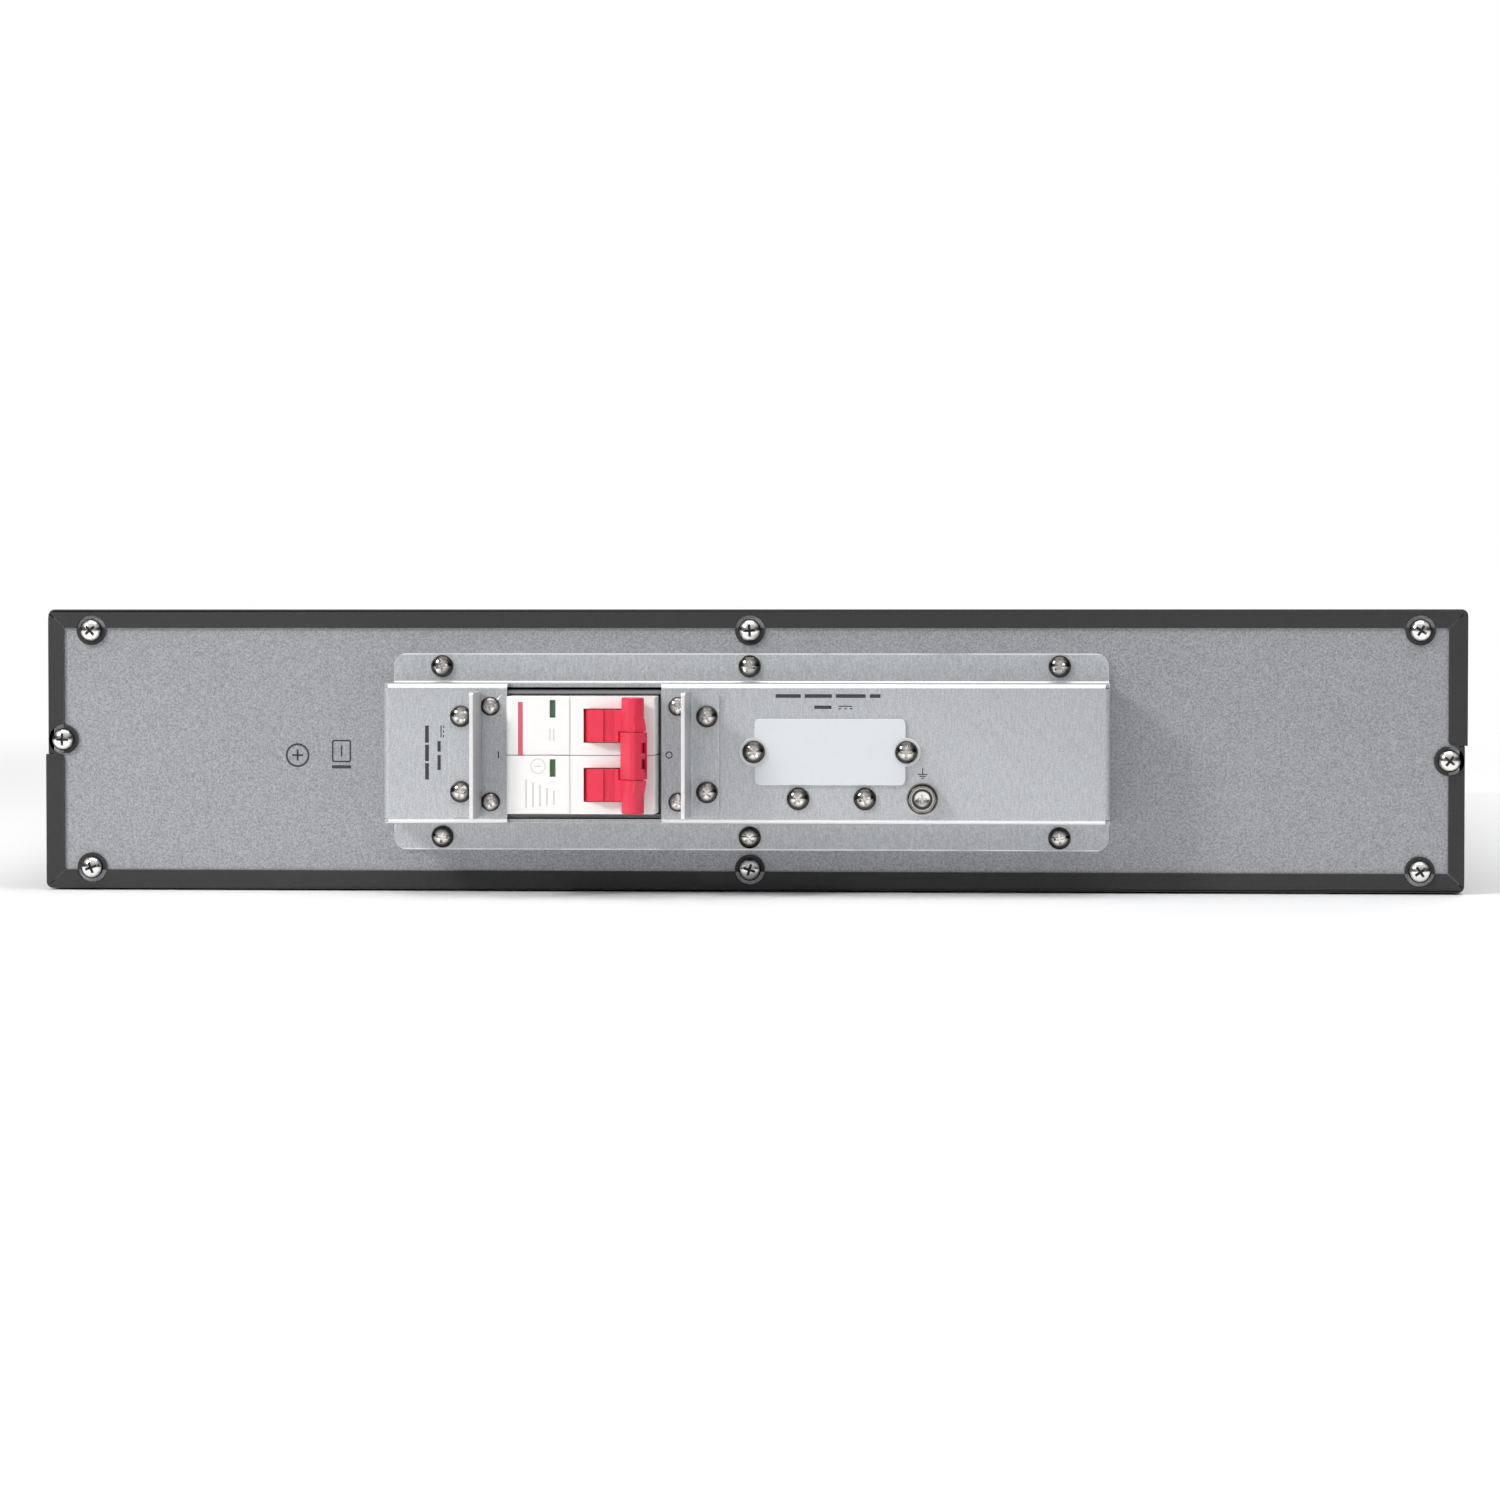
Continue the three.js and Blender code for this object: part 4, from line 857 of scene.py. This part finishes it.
def make_toggle(level, side):
    """A drum on the pin, with a shoulder in front and a flat paddle as wide as the pole."""
    z = BREAKER_Z + side * NOSE["pitch"] / 2
    hub, width = TOGGLE["hub"], TOGGLE["hub_width"]
    root, tip, thick, paddle = TOGGLE["root"], TOGGLE["tip"], TOGGLE["thick"], TOGGLE["paddle"]
    drum = prism(circle(0, 0, hub, 72), width, standing(z - width / 2))
    notches = []
    for turn in (-41, 41):
        notch = block(-0.9, 0.9, -hub - 1, -hub + 0.75, z - width, z + width)
        notch.transform(Matrix.Rotation(math.radians(turn), 4, "Z"))
        notches.append(notch)
    drum = cut(drum, *notches)
    neck = prism(rounded([(-thick / 2 - 0.9, -hub + 1.2), (-thick / 2, -root, 0.8), (-thick / 2, -root - 1),
                          (thick / 2, -root - 1), (thick / 2, -root, 0.8), (thick / 2 + 0.9, -hub + 1.2)]),
                 width, standing(z - width / 2))
    blade = prism(rounded([(-thick / 2, -root), (-thick / 2, -tip, 2.0), (thick / 2, -tip, 2.0),
                           (thick / 2, -root)]), paddle, standing(z - paddle / 2))
    near, far = BREAKER_Z + side * (CLIP["half"] + 0.3), BREAKER_Z + side * (CLIP["half"] + 4.4)
    flare = prism([(-tip + 2, near), (-tip - 0.85, near), (-tip - 0.8, (2 * near + far) / 3),
                   (-tip + 0.1, far), (-tip + 2, far)], thick - 1.4, lengthways(-thick / 2 + 0.7))
    lever = join(drum, neck, softened(blade, 0.5, 3), flare)
    inner = thick / 2 - CLIP["recess"]
    reach = CLIP["half"] + 0.3
    seats = [block(*sorted((s * inner, s * thick)), -tip - 1, -root + 1, BREAKER_Z - reach,
                   BREAKER_Z + reach) for s in SIDES]
    bore = prism(circle(0, 0, PIN_BORE, 24), width + 2, standing(z - width / 2 - 1))
    shape = softened(cut(lever, bore, *seats), 0.18)
    shape.transform(lean())
    piece(f"moulded_toggle_{level}", shape, RED_PLASTIC, "toggle", "red_plastic", f"toggle_{level}",
          MOULD_CREASE)


def make_tie_bar():
    """The clip over both paddles, with two small openings at its crest."""
    root, tip, thick = TOGGLE["root"], TOGGLE["tip"], TOGGLE["thick"]
    inner = thick / 2 - CLIP["recess"] + 0.1
    outer = inner + CLIP["wall"]
    start, top = -root - 0.3, -tip - 0.1
    profile = rounded([
        (-outer, start), (-outer, top - CLIP["wall"], 1.6), (outer, top - CLIP["wall"], 1.6), (outer, start),
        (inner, start), (inner, top, 0.8), (-inner, top, 0.8), (-inner, start)])
    clip = prism(profile, 2 * CLIP["half"], standing(BREAKER_Z - CLIP["half"]))
    eyes = [block(0.3, 1.7, top - 2, top + 0.3, BREAKER_Z + s * 2.4 - 1.5, BREAKER_Z + s * 2.4 + 1.5)
            for s in SIDES]
    shape = softened(cut(clip, *eyes), 0.16)
    shape.transform(lean())
    piece("snap_tie_bar", shape, RED_PLASTIC, "toggle", "red_plastic", "toggle_tie_bar", MOULD_CREASE)


# ---- bezel ---------------------------------------------------------------------------------------
def make_bezel():
    """A moulded front with six rows of slots each side and four pegs into the front panel."""
    width, height, wall, corner = 2 * bezel_high.x, CASE_TOP, BEZEL["wall"], BEZEL["corner"]
    body_back = FRONT_Y + GAP
    middle = CASE_TOP / 2
    shell = softened(prism(rectangle(0, middle, width, height, corner), bezel_high.y - body_back,
                           facing(body_back)), 1.4, 4)
    pocket = prism(rectangle(0, middle, width - 2 * wall, height - 2 * wall, corner - wall),
                   bezel_high.y - wall - body_back + 1, facing(body_back - 1))
    slots = [prism(rectangle(s * BEZEL["slot_x"], middle + (row - 2.5) * BEZEL["slot_pitch"], *BEZEL["slot"],
                             2.4), 5, facing(bezel_high.y - wall - 1)) for s in SIDES for row in range(6)]
    badge = prism(rectangle(0, middle, *BEZEL["badge"], 3), 2, facing(bezel_high.y - 0.5))
    pegs = [bar(x, z, 2.5, bezel_low.y, bezel_high.y - wall + 0.2, 24)
            for x in (-190, 190) for z in (18.25, 68.25)]
    shape = join(cut(shell, pocket, *slots, badge), *pegs)
    piece("moulded_bezel", softened(shape, 0.25), BLACK_PLASTIC, "cabinet", "black_plastic",
          "front_bezel", MOULD_CREASE)


# ---- fasteners -----------------------------------------------------------------------------------
def cross_recess(arm, half, depth, top):
    """A cutter for a tapered cross recess, open towards -Y."""
    tools = []
    for turn in (0, 90):
        blade = block(-arm, arm, top - 1, top + depth, -half, half)
        for vert in blade.verts:
            if vert.co.y > top:
                vert.co.x *= 0.45
                vert.co.z *= 0.7
        blade.transform(Matrix.Rotation(math.radians(turn), 4, "Y"))
        tools.append(blade)
    return tools


def pan_head(radius, height, shank, length):
    """A domed head with a cross recess on a plain shank; its seat is at y = 0."""
    dome = []
    full, side = math.radians(80), 0.22
    for k in range(9):
        a = full * k / 8
        rise = (math.cos(a) - math.cos(full)) / (1 - math.cos(full))
        dome.append((radius * math.sin(a) / math.sin(full), -height * (side + (1 - side) * rise)))
    profile = [*dome, (radius, -0.12), (radius - 0.12, 0), (shank, 0), (shank, length - 0.4),
               (shank - 0.4, length), (0, length)]
    return cut(turned(profile), *cross_recess(radius * 0.74, radius * 0.13, height * 0.7, -height))


def screw_mesh(label, bm, material):
    return as_mesh(label, softened(bm, 0.06, angle=45), material, SCREW_CREASE)


def make_screws():
    """Pan heads of three sizes, each turned to its own angle as they come to rest when driven."""
    turn, step = 12, 37
    meshes = {size: screw_mesh(f"{size} pan head", pan_head(*shape),
                               CASE_NICKEL if size == "bright" else SCREW_NICKEL)
              for size, shape in SCREWS.items()}
    for family, count, size in (("case_screw", 8, "bright"), ("box_screw", 6, "large"),
                                ("guard_screw", 4, "middle"), ("cradle_screw", 4, "small"),
                                ("plate_screw", 2, "large"), ("connector_screw", 2, "large")):
        mesh, height = meshes[size], SCREWS[size][1]
        for i in range(1, count + 1):
            name = f"{family}_{i}"
            low, high = node_box(name)
            turn = (turn + step) % 90
            at = Vector(((low.x + high.x) / 2, low.y + height, (low.z + high.z) / 2)) * MM
            where = Matrix.Translation(at) @ Matrix.Rotation(math.radians(turn), 4, "Y")
            placed("polished_" + name, mesh, "cabinet", "nickel", name, where)


def make_earth_screw():
    """A hexagon head with a dished top and a cross recess, on a plain washer."""
    low, high = node_box("earth_washer")
    middle = Vector(((low.x + high.x) / 2, 0, (low.z + high.z) / 2))
    ring_plate = cut(bar(0, 0, EARTH["washer"], 0, high.y - low.y, 64), bar(0, 0, HOLE, -1, 3, 32))
    seat = low.y - GAP
    height = seat - node_box("earth_screw")[0].y
    rim, dished = EARTH["rim"], EARTH["dish"]
    hexagon = prism(circle(0, 0, EARTH["corner"], 6), height, facing(-height))
    crown = turned([(0, -height), (EARTH["crown"], -height), (rim, -height + 0.4), (rim, 0.5), (0, 0.5)], 64)
    head = combine(hexagon, [crown], "INTERSECT")
    dish = turned([(0, -height + 0.75), (1.6, -height + 0.6), (dished, -height - 0.01),
                   (dished, -height - 1), (0, -height - 1)])
    shank = prism(circle(0, 0, 2, 32), EARTH["shank"], facing(-0.5))
    bolt = cut(join(head, shank), dish, *cross_recess(2.1, 0.45, 1.6, -height + 0.2))
    for label, node, shape, y, plating in (
            ("stamped_earth_washer", "earth_washer", ring_plate, low.y, WASHER_NICKEL),
            ("polished_earth_screw", "earth_screw", bolt, seat, BOLT_NICKEL)):
        mesh = screw_mesh(label, shape, plating)
        placed(label, mesh, "cabinet", "nickel", node, Matrix.Translation((middle + Vector((0, y, 0))) * MM))


# ---- printed marks -------------------------------------------------------------------------------
INK_DEPTH = 0.03


def mark(outline, y, holes=()):
    """A film of ink just clear of the face at y."""
    return prism(outline, INK_DEPTH, facing(y - INK_DEPTH - 0.01), holes)


def dash(x, z, width, height, y):
    return mark(rectangle(x, z, width, height), y)


def ring(x, z, outer, inner, y):
    return mark(circle(x, z, outer), y, [circle(x, z, inner)])


def frame_mark(x, z, width, height, line, y):
    return mark(rectangle(x, z, width, height, 0.8), y,
                [rectangle(x, z, width - 2 * line, height - 2 * line, 0.4)])


def direct_current(x, z, width, y, upright=False):
    """A long line over three short ones."""
    gap, line = 0.75, 0.32
    short = width / 5
    steps = [k * 2 * short for k in (-1, 0, 1)]
    if upright:
        return [dash(x, z, line, width, y), *[dash(x + gap, z + step, line, short, y) for step in steps]]
    return [dash(x, z, width, line, y), *[dash(x + step, z - gap, short, line, y) for step in steps]]


def dashes(y, *places):
    """Plain rules on the face at y, each (x, z, width, height)."""
    return [dash(*place, y) for place in places]


def make_marks():
    """Pictograms and plain rules in dark ink, none of them lettering, and faint rules on the breaker."""
    plus_x, plus_z = -140.3, 41.4
    frame_x, frame_z = -126.6, 42.7
    earth_x = 53.7
    minus_x, minus_z = -61.6, 39.3
    panel = [ring(plus_x, plus_z, 3.7, 3.1, PANEL_Y),
             *dashes(PANEL_Y, (plus_x, plus_z, 3.4, 0.6), (plus_x, plus_z, 0.6, 3.4)),
             frame_mark(frame_x, frame_z, 6.0, 7.0, 0.5, PANEL_Y),
             *dashes(PANEL_Y, (frame_x, frame_z, 0.5, 3.4), (frame_x, 37.8, 6.0, 1.0))]
    breaker_rating = [*dashes(WEB_Y, (-96.7, 48.6, 1.15, 5.2), (-96.7, 42.9, 1.15, 5.0),
                              (-96.7, 37.3, 1.15, 5.0), (-93.0, 44.9, 1.0, 3.2), (-93.0, 40.0, 1.0, 4.6)),
                      *direct_current(-92.4, 49.4, 3.6, WEB_Y, True)]
    on_and_off = [dash(-74.9, 42.4, 0.4, 2.1, WEB_Y), ring(-23.0, 42.4, 1.1, 0.75, WEB_Y)]
    connector_rating = [*dashes(WEB_Y, (13.1, 60.3, 7.6, 1.1), (22.2, 60.3, 8.2, 1.1), (32.0, 60.3, 9.0, 1.1),
                                (39.4, 60.3, 3.2, 1.1), (23.6, 56.9, 5.2, 1.0)),
                        *direct_current(30.4, 57.2, 4.2, WEB_Y)]
    earth = dashes(WEB_Y, (earth_x, 37.6, 0.3, 1.9), (earth_x, 36.7, 2.8, 0.3), (earth_x, 36.1, 1.8, 0.3),
                   (earth_x, 35.5, 0.8, 0.3))
    web = breaker_rating + on_and_off + connector_rating + earth
    faint = [ring(minus_x, minus_z, 2.3, 2.05, NOSE_Y),
             *dashes(NOSE_Y, (minus_x, minus_z, 2.0, 0.3), (-58.0, 48.8, 0.35, 3.6), (-56.8, 48.8, 0.35, 3.6),
                     *[(-65.2 + 2.1 * k, 31.0 - 0.3 * k, 0.5, 8.6 - 1.1 * k) for k in range(5)])]
    for name, parts, ink, slot in (("printed_panel_marks", panel, INK, "black_plastic"),
                                   ("printed_box_marks", web, INK, "black_plastic"),
                                   ("printed_breaker_rules", faint, PALE_INK, "white_plastic"),
                                   ("printed_red_stripe", [dash(-66.9, 50.6, 1.45, 16.0, NOSE_Y)],
                                    RED_INK, "red_plastic")):
        piece(name, together(*parts), ink, "cabinet", slot, None)


for build in (make_covers, make_terminal_box, make_blanking_plate, make_tie_bar, make_bezel, make_screws,
              make_earth_screw, make_marks):
    build()
for guard, side in (("guard_left", -1), ("guard_right", 1)):
    make_guard(guard, side)
for level, side in (("upper", 1), ("lower", -1)):
    make_pole(level)
    make_toggle(level, side)


# ---- finishes of the pieces that keep their shape from the frame ---------------------------------
KEPT = {
    "rear_panel": PANEL_STEEL, "front_panel": PANEL_STEEL, "indicator_flag": FLAG_PLASTIC,
    "toggle_pin": NICKEL, "breaker_cradle": CRADLE_STEEL, "din_rail": BOX_STEEL,
    "battery_connector": BLACK_PLASTIC, "battery_pair": BLOCK_CASE, "battery_lead_positive": RED_CABLE,
    "connector_lead_positive": RED_CABLE, "battery_lead_negative": BLACK_CABLE,
    "connector_lead_negative": BLACK_CABLE,
}
for name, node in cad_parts.items():
    for start, material in KEPT.items():
        if name.startswith(start):
            for slot in node.material_slots:
                slot.material = material


# ---- floor, light and camera ---------------------------------------------------------------------
def mix_surface(tree, factor, first, second, end):
    """Two shaders mixed by a factor, as the surface of a material or a world."""
    mixed = add(tree, "MixShader", {}, _0=factor)
    for index, shader in ((1, first), (2, second)):
        tree.links.new(shader.outputs[0], mixed.inputs[index])
    tree.links.new(mixed.outputs[0], tree.nodes[end].inputs["Surface"])


def make_floor():
    """A pale floor that fades into a white surround away from the cabinet."""
    bm = bmesh.new()
    bmesh.ops.create_grid(bm, x_segments=8, y_segments=8, size=12)
    mesh = bpy.data.meshes.new("floor")
    bm.to_mesh(mesh)
    bm.free()
    material, tree, shader = new_material("pale floor")
    slow = use(tree, CLOUDING, Scale=1.5, Contrast=0.4)
    tree.links.new(blend(tree, slow, (0.86, 0.86, 0.865), (0.9, 0.9, 0.905)), shader.inputs["Base Color"])
    shader.inputs["Roughness"].default_value = 0.6
    direct = add(tree, "LightPath").outputs["Is Camera Ray"]
    glow = add(tree, "Emission", {}, Color=(1, 1, 1, 1), Strength=ramped(tree, direct, 0.0, 1.0, 0.55, 1.0))
    reach = add(tree, "VectorMath", {"operation": "LENGTH"}, _0=place_on(tree))
    mix_surface(tree, ramped(tree, reach.outputs["Value"], 0.5, 1.6), shader, glow, "Material Output")
    mesh.materials.append(material)
    floor = linked("floor", mesh)
    floor.location.z = -0.0005


def make_room():
    """A pale room: bright overhead and ahead, with a dark doorway on each side for the metal to mirror."""
    world = bpy.data.worlds.new("studio")
    bpy.context.scene.world = world
    world.use_nodes = True
    tree = world.node_tree
    parts = add(tree, "SeparateXYZ", {}, Vector=add(tree, "TexCoord").outputs["Generated"])
    overhead = ramped(tree, parts.outputs["Z"], 0.15, 0.8)
    sideways = ramped(tree, maths(tree, "ABSOLUTE", parts.outputs["X"]), 0.35, 0.75)
    level = ramped(tree, maths(tree, "ABSOLUTE", parts.outputs["Z"]), 0.55, 0.3)
    dark = maths(tree, "MULTIPLY", sideways, level)
    tone = blend(tree, overhead, (0.36, 0.365, 0.375), (1.3, 1.3, 1.3))
    tone = blend(tree, dark, tone, (0.08, 0.08, 0.085))
    background = tree.nodes["Background"]
    tree.links.new(tone, background.inputs["Color"])
    seen = add(tree, "LightPath").outputs["Is Camera Ray"]
    plain = add(tree, "Background", {}, Color=(1, 1, 1, 1), Strength=1.0)
    mix_surface(tree, seen, background, plain, "World Output")
    background.inputs["Strength"].default_value = 0.6


def aimed(name, data, place, target):
    """A lamp or a camera at a place, turned towards its target."""
    made = linked(name, data)
    made.location = place
    made.rotation_euler = (target - place).to_track_quat("-Z", "Y").to_euler()
    return made


def make_lamp(name, place, target, size, power):
    lamp = bpy.data.lights.new(name, "AREA")
    lamp.shape = "RECTANGLE"
    lamp.size, lamp.size_y = size
    lamp.energy = power
    aimed(name, lamp, Vector(place), Vector(target))


def make_camera():
    """Behind the cabinet, a little right of and above its middle."""
    stand = Vector((88.6, PANEL_Y - 1400, 83.95)) * MM
    aim = Vector((0, PANEL_Y, CASE_TOP / 2)) * MM
    camera = bpy.data.cameras.new("camera")
    camera.lens = 109.5
    camera.sensor_width = 36
    camera.clip_start = 0.01
    bpy.context.scene.camera = aimed("camera", camera, stand, aim)


make_floor()
make_room()
make_lamp("key light", (-1.3, -1.45, 1.15), (-0.08, PANEL_Y * MM, 0.04), (0.4, 0.4), 21)
make_lamp("top light", (0.0, -0.5, 1.6), (0, -0.2, 0), (1.6, 1.2), 12)
make_lamp("far light", (0.8, 2.2, 1.4), (0, 0.3, 0.04), (1.4, 1.0), 16)
make_camera()
bpy.context.scene.view_settings.view_transform = "Standard"
